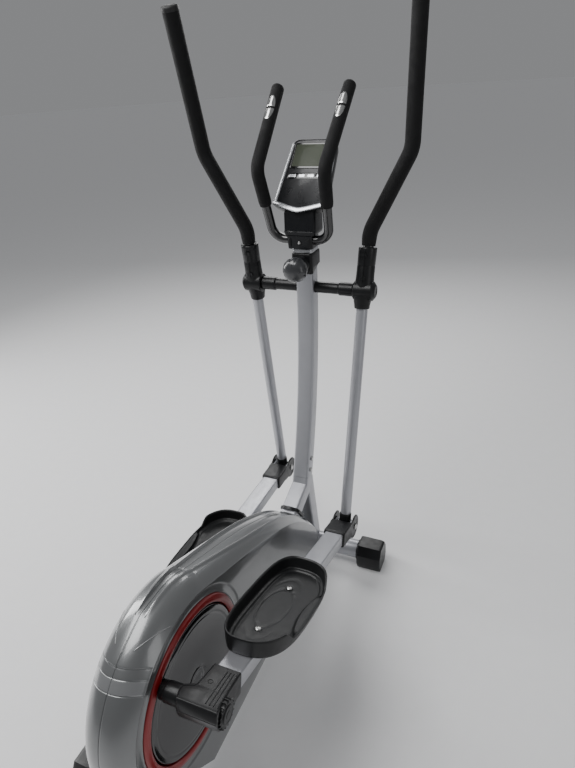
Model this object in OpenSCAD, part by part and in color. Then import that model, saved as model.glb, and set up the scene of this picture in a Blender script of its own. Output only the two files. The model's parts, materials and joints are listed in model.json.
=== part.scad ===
// Rear-drive elliptical trainer. Millimetres, +X to the user's right, +Y forward, +Z up.
// The row's origin is on the floor at the centre of the footprint's box.

/* [Linkage] */
// Height of the swing arms' axle above the floor
axle_z = 940; // [900:1:980]
// Sideways place of each swing arm's pivot boss
arm_x = 165; // [162:1:170]
// Sideways place of each foot rail
rail_x = 156; // [154:1:160]
// Swing arm length from the axle to the lower pivot
arm_len = 716; // [700:1:730]
// Foot rail length from the lower pivot to the crank pin
rail_len = 827; // [815:1:840]
// Distance of the crank axle behind the swing axle
crank_back = 859; // [850:1:870]
// Height of the crank axle
crank_z = 368; // [360:1:380]
// Crank radius, half of the stride's circle
crank_r = 153; // [145:1:156]
// Right crank's angle above the rearward horizontal
crank_phase = 48.2; // [40:0.1:60]

/* [Frame] */
// Width of the mast's rectangular tube
mast_w = 50; // [46:1:54]
// Depth of the mast's rectangular tube
mast_d = 48; // [44:1:52]
// Bending radius of the bowed mast
mast_bend = 2000; // [1900:10:2100]
// Wall thickness of the steel tubes
wall = 2; // [1.5:0.5:3]
// Diameter of the stabiliser tubes
stab_d = 60; // [50:1:64]
// Half of the overall width over the stabilisers' end caps
stab_half = 250; // [240:1:260]
// Diameter of the swing axle
axle_d = 25.4; // [24:0.1:26]

/* [Housing] */
// Radius of the housing's round side edge
drum_r = 206; // [200:1:212]
// Half of the housing's width at the side faces
drum_half = 57; // [54:1:58]
// Height of the crown over the side edges
crown = 32; // [24:1:36]
// Thickness of the moulded walls
skin = 3; // [2.5:0.5:4]
// Radius of the crank disc
disc_r = 158; // [150:1:159]

/* [Rail and pedal] */
// Width of the foot rail
rail_w = 54; // [50:1:58]
// Height of the foot rail
rail_h = 36; // [30:1:38]
// Length of a pedal
pedal_len = 355; // [340:1:365]
// Width of a pedal
pedal_w = 155; // [146:1:158]
// Height of the pedal's rim over the rail's centre line
pedal_top = 60; // [50:1:66]

/* [Console] */
// Tilt of the console's face from the horizontal
console_tilt = 45; // [35:1:55]
// Length of the console's face along its slope
console_len = 202; // [195:1:210]

/* [Hidden] */

$fn = 64;
silver = [0.72, 0.73, 0.75];
dark = [0.13, 0.14, 0.15];
black = [0.05, 0.05, 0.055];
red = [0.72, 0.06, 0.09];
metal = [0.6, 0.61, 0.62];
fit = 0.05;          // radial clearance of a running fit
gap = 0.4;           // clearance between loose neighbours

// ---- linkage, worked out from the driving dimensions (axle-based y, floor-based z) ----
pin_y = [-crank_back - crank_r * cos(crank_phase), -crank_back + crank_r * cos(crank_phase)];
pin_z = [crank_z + crank_r * sin(crank_phase), crank_z - crank_r * sin(crank_phase)];
// the lower pivot lies where the arm's circle and the rail's circle meet
function span(k) = sqrt(pow(pin_y[k], 2) + pow(axle_z - pin_z[k], 2));
function reach(k) = (arm_len * arm_len - rail_len * rail_len + span(k) * span(k)) / (2 * span(k));
function lift(k) = sqrt(arm_len * arm_len - reach(k) * reach(k));
function foot_y(k) = (reach(k) * pin_y[k] + lift(k) * (axle_z - pin_z[k])) / span(k);
function foot_z(k) = axle_z + (reach(k) * (pin_z[k] - axle_z) + lift(k) * pin_y[k]) / span(k);
function arm_tilt(k) = atan2(foot_y(k), axle_z - foot_z(k));
function rail_tilt(k) = atan2(pin_z[k] - foot_z(k), foot_y(k) - pin_y[k]);

// ---- places ----
rear_reach = crank_back + drum_r + crown;
front_reach = 142;
axle_y = (rear_reach - front_reach) / 2;
mast_top = 1062;
mast_bend_z = 1020;                       // the mast is upright above this height
mast_foot_z = 354;
mast_foot_a = asin((mast_bend_z - mast_foot_z) / mast_bend);
mast_foot_y = -mast_bend * (1 - cos(mast_foot_a));
stab_z = 46;
front_y = -62;
rear_y = -960;
beam = 50;                                // side of the square main beam
beam_break = [-800, 76];                  // where the sloping beam meets the flat one
fly_y = -545;
fly_z = 330;
fly_r = 100;
pulley_r = 130;
small_r = 20;
idler_r = 15;
belt_x = -18;
belt_t = 3;
sleeve_x = 61;                            // inner end of the rails' bearing sleeves
screw_s = [443, 615];                     // pedal screws, along the rail from the lower pivot
pedal_mid = 527;

// ---- general helpers ----
module place() translate([0, axle_y, 0]) children();

// rod between two points
module rod(a, b, d) {
    v = b - a;
    l = norm(v);
    translate(a) rotate([0, acos(v[2] / l), atan2(v[1], v[0])]) cylinder(h = l, d = d);
}

// cylinder along X, from x0 to x1
module xcyl(x0, x1, r) translate([x0, 0, 0]) rotate([0, 90, 0]) cylinder(h = x1 - x0, r = r);

// box from its lowest to its highest corner
module block(a, b) translate(a) cube(b - a);

// rectangular bar between two points of the YZ plane
module bar(a, b, w, h) {
    v = b - a;
    translate([0, a[0], a[1]]) rotate([atan2(v[1], v[0]), 0, 0])
        translate([-w / 2, 0, -h / 2]) cube([w, norm(v), h]);
}

function unit(v) = v / norm(v);
function corner_angle(a, b, c) = acos(unit(a - b) * unit(c - b));
function trim_len(a, b, c, r) = r / tan(corner_angle(a, b, c) / 2);

// points of an elbow of radius r at corner b of the path a, b, c
function elbow(a, b, c, r, n) = let (
    u = unit(a - b), v = unit(c - b), th = corner_angle(a, b, c), t = trim_len(a, b, c, r),
    mid = b + unit(u + v) * r / sin(th / 2), e1 = unit(b + u * t - mid),
    e3 = unit(cross(e1, unit(b + v * t - mid))), e2 = cross(e3, e1))
    [for (i = [0:n]) let (f = (180 - th) * i / n) mid + r * (e1 * cos(f) + e2 * sin(f))];
// a path's points, with its corners rounded to radius r
function route(p, r, n = 6) = concat([p[0]],
    [for (i = [1:len(p) - 2]) each elbow(p[i - 1], p[i], p[i + 1], r, n)], [p[len(p) - 1]]);
function heading(q, i) = unit(q[min(i + 1, len(q) - 1)] - q[max(i - 1, 0)]);
function flat_to(e, t) = unit(e - t * (e * t));
function start_dir(t) = unit(cross(t, abs(t[0]) < 0.7 ? [1, 0, 0] : [0, 0, 1]));
// one sideways direction for each point, carried along without twist
function carried(q) = [for (i = 0, e = start_dir(heading(q, 0)); i < len(q);
    i = i + 1, e = flat_to(e, heading(q, min(i, len(q) - 1)))) e];
sides = 16;
function ring(c, t, e, r) = let (f = cross(t, e))
    [for (k = [0:sides - 1]) let (a = 360 * k / sides) c + r * (e * cos(a) + f * sin(a))];
function rings(q, r) = let (e = carried(q)) [for (i = [0:len(q) - 1]) each ring(q[i], heading(q, i), e[i], r)];
// quads of n rings whose points start at index o; the last argument turns them inside out
function skin_of(n, o, inward) = [for (i = [0:n - 2]) for (k = [0:sides - 1])
    let (a = o + i * sides + k, b = o + i * sides + (k + 1) % sides, c = b + sides, d = a + sides)
    each inward ? [[a, b, c], [a, c, d]] : [[a, c, b], [a, d, c]]];

// hollow tube along a route, from outer radius ro to inner radius ri
module tube(q, ro, ri) {
    n = len(q);
    o = n * sides;
    polyhedron(concat(rings(q, ro), rings(q, ri)), concat(skin_of(n, 0, false), skin_of(n, o, true),
        [for (k = [0:sides - 1]) let (j = (k + 1) % sides) each [[k, j, o + j], [k, o + j, o + k]]],
        [for (k = [0:sides - 1]) let (j = (k + 1) % sides, a = o - sides) each
            [[a + j, a + k, o + a + k], [a + j, o + a + k, o + a + j]]]));
}

// sleeve along a route whose far end is closed by a dome of the given height
module sock(q, ro, ri, dome) {
    n = len(q);
    t = heading(q, n - 1);
    e = carried(q)[n - 1];
    caps = [0, 30, 55, 75];
    outer = concat(rings(q, ro), [for (a = caps) each ring(q[n - 1] + t * (1 + dome * sin(a)), t, e, ro * cos(a))]);
    no = n + len(caps);
    o = no * sides;
    tip = o + n * sides;
    polyhedron(concat(outer, rings(q, ri), [q[n - 1] + t * (1 + dome), q[n - 1] + t * 0.5]),
        concat(skin_of(no, 0, false), skin_of(n, o, true),
        [for (k = [0:sides - 1]) let (j = (k + 1) % sides) each [[k, j, o + j], [k, o + j, o + k]]],
        [for (k = [0:sides - 1]) [o - sides + (k + 1) % sides, o - sides + k, tip]],
        [for (k = [0:sides - 1]) [tip - sides + k, tip - sides + (k + 1) % sides, tip + 1]]));
}

// frames that follow the linkage; k = 0 is the right side and k = 1 the left
function side(k) = k == 0 ? 1 : -1;
module arm_frame(k) place() translate([0, 0, axle_z]) rotate([arm_tilt(k), 0, 0])
    mirror([k, 0, 0]) children();
// along -Y runs the rail, from the lower pivot at the origin
module rail_frame(k) place() translate([side(k) * rail_x, foot_y(k), foot_z(k)])
    rotate([-rail_tilt(k), 0, 0]) mirror([k, 0, 0]) children();

// ---- main frame ----
leg_foot = [-69, 60];
leg_top = [mast_foot_y + 4, mast_foot_z - 16];
beam_top = [mast_foot_y - 6, mast_foot_z - 28];

module mast_bar(w, d, a0, a1) translate([0, -mast_bend, mast_bend_z]) rotate([-90, 0, 90])
    rotate([0, 0, a0]) rotate_extrude(angle = a1 - a0, $fn = 720)
        translate([mast_bend - d / 2, -w / 2]) square([d, w]);

module main_frame() color(silver) place() difference() {
    union() {
        intersection() {
            union() {
                bar(beam_break, beam_top, beam, beam);
                bar(leg_foot, leg_top, beam - 2, mast_d);
                translate([0, mast_foot_y, mast_foot_z]) rotate([-mast_foot_a, 0, 0])
                    block([-beam / 2 + 0.5, -24, -40], [beam / 2 - 0.5, 24, 0]);
            }
            // cut square to the mast's foot
            translate([0, mast_foot_y, mast_foot_z]) rotate([-mast_foot_a, 0, 0])
                block([-60, -1200, -700], [60, 400, 0]);
        }
        mast_bar(mast_w - 2 * wall - 0.6, mast_d - 2 * wall - 0.6, mast_foot_a - 2, mast_foot_a + 0.1);
        block([-beam / 2, rear_y - 22, 52], [beam / 2, beam_break[0] + 4, 100]);
        // crank shell on two uprights
        translate([0, -crank_back, crank_z]) xcyl(-8, 38, 26);
        for (x = [0, 19]) translate([x, 0, 0])
            block([0, -crank_back - 22, 96], [6, -crank_back + 22, crank_z]);
        // flywheel dropouts
        for (s = [-1, 1]) translate([s * 29 - 2, 0, 0])
            block([0, fly_y - 16, beam_z(fly_y)], [4, fly_y + 16, fly_z + 16]);
        block([-31, fly_y - 16, beam_z(fly_y)], [31, fly_y + 16, beam_z(fly_y) + 12]);
        // idler and brake pivots
        translate([0, idler_c()[0], idler_c()[1]]) xcyl(-28, -12, 5 - fit);
        block([-29, idler_c()[0] - 8, beam_z(idler_c()[0])], [-25, idler_c()[0] + 8, idler_c()[1] + 6]);
        block([-29, idler_c()[0] - 8, beam_z(idler_c()[0])], [-20, idler_c()[0] + 8, beam_z(idler_c()[0]) + 20]);
        translate([0, brake_c[0], brake_c[1]]) xcyl(-16, 16, 5 - fit);
        for (s = [-1, 1]) translate([s * 14 - 2, 0, 0])
            block([0, brake_c[0] - 9, beam_z(brake_c[0])], [4, brake_c[0] + 9, brake_c[1] + 9]);
    }
    translate([0, -crank_back, crank_z]) xcyl(-9, 39, 20);
    translate([0, fly_y, fly_z]) xcyl(-40, 40, 6);
    translate([0, front_y, stab_z]) xcyl(-60, 60, stab_d / 2 + 0.1);
    translate([0, rear_y, stab_z]) xcyl(-60, 60, stab_d / 2 + 0.1);
    for (b = bolt_spots) translate([0, mast_foot_y + b[1], mast_foot_z + b[2]]) xcyl(-60, 60, 4.2);
}

beam_a = atan2(beam_top[1] - beam_break[1], beam_top[0] - beam_break[0]);
function beam_z(y) = beam_break[1] + (y - beam_break[0]) * (beam_top[1] - beam_break[1])
    / (beam_top[0] - beam_break[0]);
bolt_spots = [[0, 6, 24], [0, 18, 58]];
brake_c = [fly_y + 110, fly_z - 82];

module stabiliser(y) color(silver) place() translate([0, y, stab_z]) difference() {
    xcyl(-185, 185, stab_d / 2);
    xcyl(-190, 190, stab_d / 2 - wall);
}
module front_stabiliser() stabiliser(front_y);
module rear_stabiliser() stabiliser(rear_y);

// faceted end cap with a flat sole; the front ones hold a wheel in a slot at the front
module end_cap(y, wheeled) for (s = [-1, 1]) mirror([s < 0 ? 1 : 0, 0, 0])
    translate([171, y, 0]) difference() {
        rotate([0, 90, 0]) rotate([0, 0, 90]) linear_extrude(stab_half - 171)
            polygon([[-33, 0], [33, 0], [43, 22], [43, 58], [25, 86], [-25, 86], [-43, 58], [-43, 22]]);
        translate([-1, 0, stab_z]) xcyl(0, 15.2, stab_d / 2 + 0.2);
        if (wheeled) {
            block([28, 6, 6], [54, 60, 56]);
        }
    }
wheel_y = front_y + 31;
wheel_z = 30;
module front_caps() color(dark) place() {
    end_cap(front_y, true);
    for (s = [-1, 1]) translate([0, wheel_y, wheel_z])
        xcyl(s * 212 - 14, s * 212 + 14, 4 - fit);
}
module rear_caps() color(dark) place() end_cap(rear_y, false);
module wheel(s) color(black) place() translate([s * 212, wheel_y, wheel_z]) difference() {
    union() {
        xcyl(-11, 11, 20);
        xcyl(-12, 12, 10);
    }
    xcyl(-13, 13, 4);
}
module wheel_left() wheel(-1);
module wheel_right() wheel(1);

// ---- mast and what is on it ----
module mast() color(silver) place() difference() {
    union() {
        mast_bar(mast_w, mast_d, 0, mast_foot_a);
        block([-mast_w / 2, -mast_d / 2, mast_bend_z], [mast_w / 2, mast_d / 2, mast_top - 4]);
        block([-28, -30, mast_top - 4], [28, 28, mast_top]);
    }
    mast_bar(mast_w - 2 * wall, mast_d - 2 * wall, -0.1, mast_foot_a + 1);
    block([-mast_w / 2 + wall, -mast_d / 2 + wall, mast_bend_z - 1],
          [mast_w / 2 - wall, mast_d / 2 - wall, mast_top - 4]);
    translate([0, 0, axle_z]) xcyl(-40, 40, axle_d / 2 + fit);
    translate([0, 0, knob_z]) rotate([90, 0, 0]) cylinder(h = 60, r = 7);
    for (b = bolt_spots) translate([0, mast_foot_y + b[1], mast_foot_z + b[2]]) xcyl(-60, 60, 4.2);
}
module mast_bolts() color(metal) place() for (b = bolt_spots)
    translate([0, mast_foot_y + b[1], mast_foot_z + b[2]]) {
        xcyl(-mast_w / 2 - 4, mast_w / 2 + 4, 4);
        xcyl(mast_w / 2 + 0.1, mast_w / 2 + 5, 7);
        xcyl(-mast_w / 2 - 5, -mast_w / 2 - 0.1, 7);
    }
module swing_axle() color(metal) place() translate([0, 0, axle_z]) difference() {
    xcyl(-190, 190, axle_d / 2);
    for (s = [-1, 1]) xcyl(s * 175 - 16, s * 175 + 16, 4);
}
module axle_sleeves() color(black) place() for (s = [-1, 1]) mirror([s < 0 ? 1 : 0, 0, 0])
    translate([0, 0, axle_z]) difference() {
        union() {
            xcyl(mast_w / 2 + gap, 138, 16);
            xcyl(96, 138, 19);
        }
        xcyl(0, 200, axle_d / 2 + 0.3);
    }
knob_z = 1013;
knob_out = 66;                            // how far the knob stands behind the mast's centre line
module mast_shroud() color(black) place() difference() {
    union() {
        block([-30, -36, 992], [30, 34, mast_top - 4.3]);
        translate([0, -34, knob_z]) rotate([90, 0, 0]) cylinder(h = knob_out - 34.6, r = 22);
    }
    block([-mast_w / 2 - gap, -mast_d / 2 - gap, 900], [mast_w / 2 + gap, mast_d / 2 + gap, 1100]);
    // the lower edge slants up towards the front
    translate([0, -36, 992]) rotate([20, 0, 0]) block([-40, -30, -60], [40, 120, 0]);
    translate([0, -20, knob_z]) rotate([90, 0, 0]) cylinder(h = 60, r = 6 + fit);
}
module tension_knob() color(dark) place() translate([0, -knob_out, knob_z]) rotate([90, 0, 0]) {
    rotate_extrude() polygon([[0, 0], [25, 0], [33, 9], [33, 25], [29, 35], [17, 41.5], [0, 43.5]]);
    translate([0, 0, -36]) cylinder(h = 37, r = 6);
    for (a = [0:30:359]) rotate([0, 0, a]) translate([32.2, 0, 10.4]) cylinder(h = 13.7, r = 2.2, $fn = 24);
}

// ---- fixed handlebar ----
bar_low = [80, -26, 1080];
bar_bend = [91, -82, 1270];
bar_tip = [99, 97, 1440];
bar_mid = [[-bar_tip[0], bar_tip[1], bar_tip[2]], [-bar_bend[0], bar_bend[1], bar_bend[2]],
    [-bar_low[0], bar_low[1], bar_low[2]], bar_low, bar_bend, bar_tip];
bar_d = 25;
grip_d = 34;
grip_from = bar_bend + unit(bar_low - bar_bend) * 98;
bar_route = route(bar_mid, 38);
module handlebar() color(black) place() tube(bar_route, bar_d / 2, bar_d / 2 - wall);
module handlebar_grips() color(dark) place() for (k = [0, 1]) mirror([k, 0, 0])
    sock(route([grip_from, bar_bend, bar_tip], 38), grip_d / 2, bar_d / 2 + 0.3, 10);
// the pulse plates sit on the user's side of each grip
bar_w = unit(bar_tip - bar_bend);
bar_n = unit(cross([1, 0, 0], bar_w));
bar_e = cross(bar_w, bar_n);
sensor_a = bar_bend + (bar_tip - bar_bend) * 0.72;
module on_bar() multmatrix([[bar_e[0], bar_w[0], bar_n[0], sensor_a[0]],
    [bar_e[1], bar_w[1], bar_n[1], sensor_a[1]], [bar_e[2], bar_w[2], bar_n[2], sensor_a[2]],
    [0, 0, 0, 1]]) children();
module pulse_sensors() color(metal) place() for (s = [0, 1]) mirror([s, 0, 0]) on_bar() difference() {
    intersection() {
        translate([0, -50, 0]) rotate([-90, 0, 0]) cylinder(h = 100, d = grip_d + 2.4);
        linear_extrude(40) polygon([for (a = [0:10:359]) [12 * cos(a), 38 * sin(a)]]);
    }
    translate([0, -60, 0]) rotate([-90, 0, 0]) cylinder(h = 120, d = grip_d + 0.2);
    translate([-20, -2.5, 0]) cube([40, 5, 40]);
}

// moulded block that clamps the handlebar on the mast's top and carries the console
module handlebar_clamp() color(black) place() difference() {
    union() {
        block([-36, -44, mast_top + 0.2], [36, 10, 1100]);
        block([-45, -38, 1098], [45, 26, 1146]);
    }
    translate([0, bar_low[1], bar_low[2]]) xcyl(-60, 60, bar_d / 2 + 0.1);
    place_console() block([-100, -100, -45.4], [100, 300, 100]);
}

// ---- housing: two mirrored shells round the drive ----
// side edge of the shell as [y, z] points, anticlockwise seen from the right
drum_from = 66;
drum_to = 225;
nose_y = -125;
belly_z = 72;
top_curve = [[-crank_back + drum_r * cos(drum_from), crank_z + drum_r * sin(drum_from)],
    [-580, 475], [-330, 395], [-190, 228]];
function bez(p, t) = p[0] * pow(1 - t, 3) + 3 * p[1] * t * pow(1 - t, 2) + 3 * p[2] * t * t * (1 - t)
    + p[3] * pow(t, 3);
heel = [-crank_back + drum_r * cos(drum_to), crank_z + drum_r * sin(drum_to)];
outline = concat(
    [for (i = [0:23]) let (a = drum_from + (drum_to - drum_from) * i / 23)
        [-crank_back + drum_r * cos(a), crank_z + drum_r * sin(a)]],
    [for (i = [1:3]) heel + i / 4 * [heel[1] - belly_z, belly_z - heel[1]]],
    [for (i = [0:9]) [heel[0] + heel[1] - belly_z, belly_z]
        + i / 10 * [nose_y - 30 - heel[0] - heel[1] + belly_z, 0]],
    [for (i = [0:4]) [nose_y - 30 + 30 * sin(i * 22.5), belly_z + 30 - 30 * cos(i * 22.5)]],
    [for (i = [0:5]) bez([[nose_y, 112], [nose_y, 160], [-165, 203], top_curve[3]], i / 6)],
    [for (i = [0:15]) bez(top_curve, 1 - i / 16)]);
m = len(outline);
function out_n(i) = let (d = outline[(i + 1) % m] - outline[(i + m - 1) % m]) unit([d[1], -d[0]]);
function clamp01(v) = max(0, min(1, v));
function smooth(v) = let (c = clamp01(v)) c * c * (3 - 2 * c);
function half_w(y) = drum_half - (drum_half - 46) * smooth((y + 520) / 380);
function crown_at(n) = crown * clamp01((n[1] + 0.75) / 0.75) * (1 - 0.75 * clamp01((n[0] - 0.3) / 0.7));
turns = 6;
cap_r = 194;

// points of one skin, inset by t: crown to side edge, a flat ring round the disc, the disc's centre
function skin_pts(t) = concat(
    [for (k = [0:turns]) for (i = [0:m - 1])
        let (a = 90 * k / turns, n = out_n(i), p = outline[i] + n * (crown_at(n) * cos(a) - t))
        [(half_w(p[0]) - t) * (k == 0 && t > 0 ? -0.05 : sin(a)), p[0], p[1]]],
    [for (i = [0:m - 1]) let (c = [-crank_back, crank_z], q = c + unit(outline[i] - c) * cap_r)
        [drum_half - t, q[0], q[1]]],
    [[drum_half - t, -crank_back, crank_z], [t > 0 ? -2 : 0, -crank_back, crank_z]]);
skin_faces = concat(
    [for (k = [0:turns]) for (i = [0:m - 1]) let (j = (i + 1) % m)
        [k * m + i, (k + 1) * m + j, k * m + j]],
    [for (k = [0:turns]) for (i = [0:m - 1]) let (j = (i + 1) % m)
        [k * m + i, (k + 1) * m + i, (k + 1) * m + j]],
    [for (i = [0:m - 1]) [(turns + 1) * m + (i + 1) % m, (turns + 1) * m + i, (turns + 2) * m]],
    [for (i = [0:m - 1]) [i, (i + 1) % m, (turns + 2) * m + 1]]);

module shell() difference() {
    polyhedron(skin_pts(0), skin_faces);
    polyhedron(skin_pts(skin), skin_faces);
    translate([0, -crank_back, crank_z]) xcyl(30, 70, 181);
    // ways out for the mast's stub, the leg and the main beam
    translate([0, 0, -1]) bar(beam_break, beam_top + [60, 24], beam + 1.2, beam + 5);
    block([-2, -170, 60], [beam / 2 + 0.9, -60, 420]);
    block([-3, rear_y, 40], [beam / 2 + 1.3, -783, 101.5]);
}
module housing_right() color(dark) place() shell();
module housing_left() color(dark) place() mirror([1, 0, 0]) shell();

module side_rings() color(red) place() for (s = [0, 1]) mirror([s, 0, 0])
    translate([0, -crank_back, crank_z]) rotate([0, 90, 0]) rotate_extrude($fn = 180)
        polygon([[disc_r + 2.5, 48.5], [180.6, 48.5], [180.6, 57.2], [178, 59.4], [172, 60],
            [165, 59.4], [disc_r + 2.5, 56]]);

// arched collar where the stub leaves the housing's nose
module nose_collar() color(black) place() translate([0, -211.6, 294.1])
    rotate([125.6, 0, 0]) difference() {
        linear_extrude(5) polygon(concat([[31, -34], [31, 14]],
            [for (a = [15:15:165]) [31 * cos(a), 14 + 24 * sin(a)]], [[-31, 14], [-31, -34]]));
        translate([0, -1, -1]) linear_extrude(8) square([beam + 1, beam + 7], center = true);
    }

// ---- drive ----
module crank_place() place() translate([0, -crank_back, crank_z]) children();
module crank_axle() color(metal) crank_place() xcyl(-49, 49, 10);
module crank_bearings() color(metal) crank_place() for (x = [-7, 25]) difference() {
    xcyl(x, x + 12, 20);
    xcyl(x - 1, x + 13, 10 + fit);
}
module crank_arms() color(metal) crank_place() for (k = [0, 1]) mirror([k, 0, 0])
    rotate([k * 180 - crank_phase, 0, 0]) difference() {
        union() {
            xcyl(40, 48, 24);
            block([41, -crank_r, -15], [48, 0, 15]);
            translate([0, -crank_r, 0]) xcyl(41, 48, 15);
        }
        xcyl(39, 49.2, 10);
    }
module crank_discs() color(black) crank_place() for (k = [0, 1]) mirror([k, 0, 0])
    difference() {
        rotate([0, 90, 0]) rotate_extrude($fn = 180)
            polygon([[0, 49.2], [60, 49.2], [60, 51], [disc_r - 4, 51], [disc_r, 48], [disc_r, 55],
                [disc_r - 3, 57.5], [disc_r - 12, 58.5], [60, 59.5], [34, 59.5], [32, 57], [0, 57]]);
        xcyl(48, 61, 6);
    }
module hub_caps() color(silver) crank_place() for (k = [0, 1]) mirror([k, 0, 0])
    rotate([0, 90, 0]) rotate_extrude() polygon([[0, 50.5], [5.5, 50.5], [5.5, 57.2], [28, 57.2],
        [27, 58.6], [20, 59.6], [0, 60]]);
module drive_pulley() color(black) crank_place() difference() {
    union() {
        translate([belt_x, 0, 0]) xcyl(-4.5, 4.5, pulley_r);
        xcyl(-24, -9, 22);
    }
    difference() {
        xcyl(belt_x - 6, belt_x - 1, pulley_r - 12);
        xcyl(-30, 0, 24);
    }
    translate([belt_x, 0, 0]) for (a = [0:60:359]) rotate([a, 0, 0]) translate([0, 72, 0]) xcyl(-8, 8, 26);
    xcyl(-60, 0, 10);
}
module fly_place() place() translate([0, fly_y, fly_z]) children();
module flywheel_axle() color(metal) fly_place() {
    xcyl(-38, 38, 6);
    for (s = [-1, 1]) xcyl(s * 34.2 - 3, s * 34.2 + 3, 10);
}
module flywheel() color(metal) fly_place() difference() {
    union() {
        xcyl(-8, 14, fly_r);
        xcyl(-25, 25, 13);
        xcyl(belt_x - 4.5, belt_x + 4.5, small_r);
    }
    for (x = [-9, 9]) difference() {
        xcyl(x, x + 6, fly_r - 24);
        xcyl(x - 1, x + 7, 24);
    }
    xcyl(-60, 60, 6 + fit);
}
// belt round both pulleys; its idler presses up under the lower run
belt_dir = atan2(fly_z - crank_z, fly_y + crank_back);
belt_span = norm([fly_z - crank_z, fly_y + crank_back]);
belt_half = acos((pulley_r - small_r) / belt_span);
function around(c, r, a0, a1, n) = [for (i = [0:n]) let (a = a0 + (a1 - a0) * i / n)
    [c[0] + r * cos(a), c[1] + r * sin(a)]];
function belt_loop(e) = concat(
    around([-crank_back, crank_z], pulley_r + e, belt_dir + belt_half, belt_dir - belt_half + 360, 60),
    around([fly_y, fly_z], small_r + e, belt_dir - belt_half, belt_dir + belt_half, 16));
function idler_c() = ([-crank_back, crank_z] + [fly_y, fly_z]) / 2
    + ((pulley_r + small_r) / 2 + 0.7 + belt_t + idler_r) * [cos(belt_dir - belt_half), sin(belt_dir - belt_half)];
// extrude a shape drawn in the YZ plane along X
module along_x(x0, x1) translate([x0, 0, 0]) rotate([90, 0, 90]) linear_extrude(x1 - x0) children();
module drive_belt() color(black) place() along_x(belt_x - 3.5, belt_x + 3.5) difference() {
    polygon(belt_loop(0.3 + belt_t));
    polygon(belt_loop(0.3));
}
module idler_pulley() color(dark) place() translate([belt_x, idler_c()[0], idler_c()[1]]) difference() {
    union() {
        xcyl(-4, 4, idler_r);
        xcyl(-5, 5, 8);
    }
    xcyl(-6, 6, 5);
}
module magnet_bracket() color(metal) place() difference() {
    union() {
        translate([3, fly_y, fly_z]) difference() {
            xcyl(-19, 19, fly_r + 22);
            xcyl(-15.5, 15.5, fly_r + 18.5);
            xcyl(-20, 20, fly_r - 20);
            block([-30, -200, -200], [30, 60, 200]);
            block([-31, -201, 58], [31, 201, 201]);
        }
        translate([0, brake_c[0], brake_c[1]]) xcyl(-11, 11, 9);
        bar([brake_c[0], brake_c[1]], [fly_y + 98, fly_z - 70], 20, 8);
    }
    translate([0, brake_c[0], brake_c[1]]) xcyl(-30, 30, 5);
}

// ---- console, drawn flat and tilted into place: x across, y up the slope, z out of the face ----
console_y = -34;
console_z = 1174;
low_half = 75;
top_half = 65;
chevron = 20;
module place_console() translate([0, console_y, console_z]) rotate([console_tilt, 0, 0]) children();
function face_pts(e) = [[0, -chevron - e], [low_half + e * 0.9, -e * 0.6], [top_half + e, console_len - 14 + e],
    [top_half - 14 + e * 0.5, console_len + e], [-top_half + 14 - e * 0.5, console_len + e],
    [-top_half - e, console_len - 14 + e], [-low_half - e * 0.9, -e * 0.6]];
lcd = [[-50, 116], [50, 185]];
button_s = 87;
button_x = [-39, -13, 13, 39];
module console_back() color(black) place() place_console() difference() {
    translate([0, 0, -45]) linear_extrude(41) polygon(face_pts(0));
    translate([0, 0, -42]) linear_extrude(50) polygon(face_pts(-3));
}
module console_face() color(dark) place() place_console() difference() {
    translate([0, 0, -3.9]) linear_extrude(4) polygon(face_pts(0));
    translate([0, 0, -10]) linear_extrude(20) translate(lcd[0] - [gap, gap])
        square(lcd[1] - lcd[0] + [2 * gap, 2 * gap]);
    for (x = button_x) translate([x - 10 - gap, button_s - 5 - gap, -10])
        cube([20 + 2 * gap, 10 + 2 * gap, 20]);
}
module console_trim() color(silver) place() place_console() translate([0, 0, 0.1]) difference() {
    linear_extrude(2.4) polygon(face_pts(0));
    translate([0, 0, -1]) linear_extrude(5) polygon(face_pts(-6));
    translate([-60, console_len - 30, -1]) cube([120, 60, 5]);
}
module console_lens() color([0.45, 0.5, 0.42]) place() place_console()
    translate([lcd[0][0], lcd[0][1], -3.5]) cube([lcd[1][0] - lcd[0][0], lcd[1][1] - lcd[0][1], 3]);
module button(i) color(silver) place() place_console()
    translate([button_x[i] - 10, button_s - 5, -5]) cube([20, 10, 6.2]);
module button_1() button(0);
module button_2() button(1);
module button_3() button(2);
module button_4() button(3);

// ---- swing arms: drawn upright with the axle at the origin, right-hand side ----
boss_half = 22;
arm_foot = [rail_x, 0, -arm_len];
arm_path = [[arm_x + 2, 0.6, 28], [arm_x + 6, 4, 158], [arm_x + 102, 0, 363], [arm_x + 101, -43, 692]];
tube_d = 32;
grip_od = 40;
module swing_tube(k) color(silver) arm_frame(k) difference() {
    union() {
        rod(arm_foot + [0, 0, 9], [arm_x, 0, -15], tube_d);
        xcyl(arm_x - boss_half, arm_x + boss_half, 20);
        rod([arm_x + 1.2, 0.4, 10], [arm_x + 4, 2, 90], 22);
        translate(arm_foot) xcyl(-21, 21, 15);
    }
    xcyl(arm_x - 40, arm_x + 40, axle_d / 2 + fit);
    translate(arm_foot) xcyl(-40, 40, 6 + fit);
    rod(arm_foot + [0, 0, 30], [arm_x, 0, -30], tube_d - 2 * wall);
}
module swing_tube_right() swing_tube(0);
module swing_tube_left() swing_tube(1);

arm_w = unit(arm_path[1] - arm_path[0]);
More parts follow.
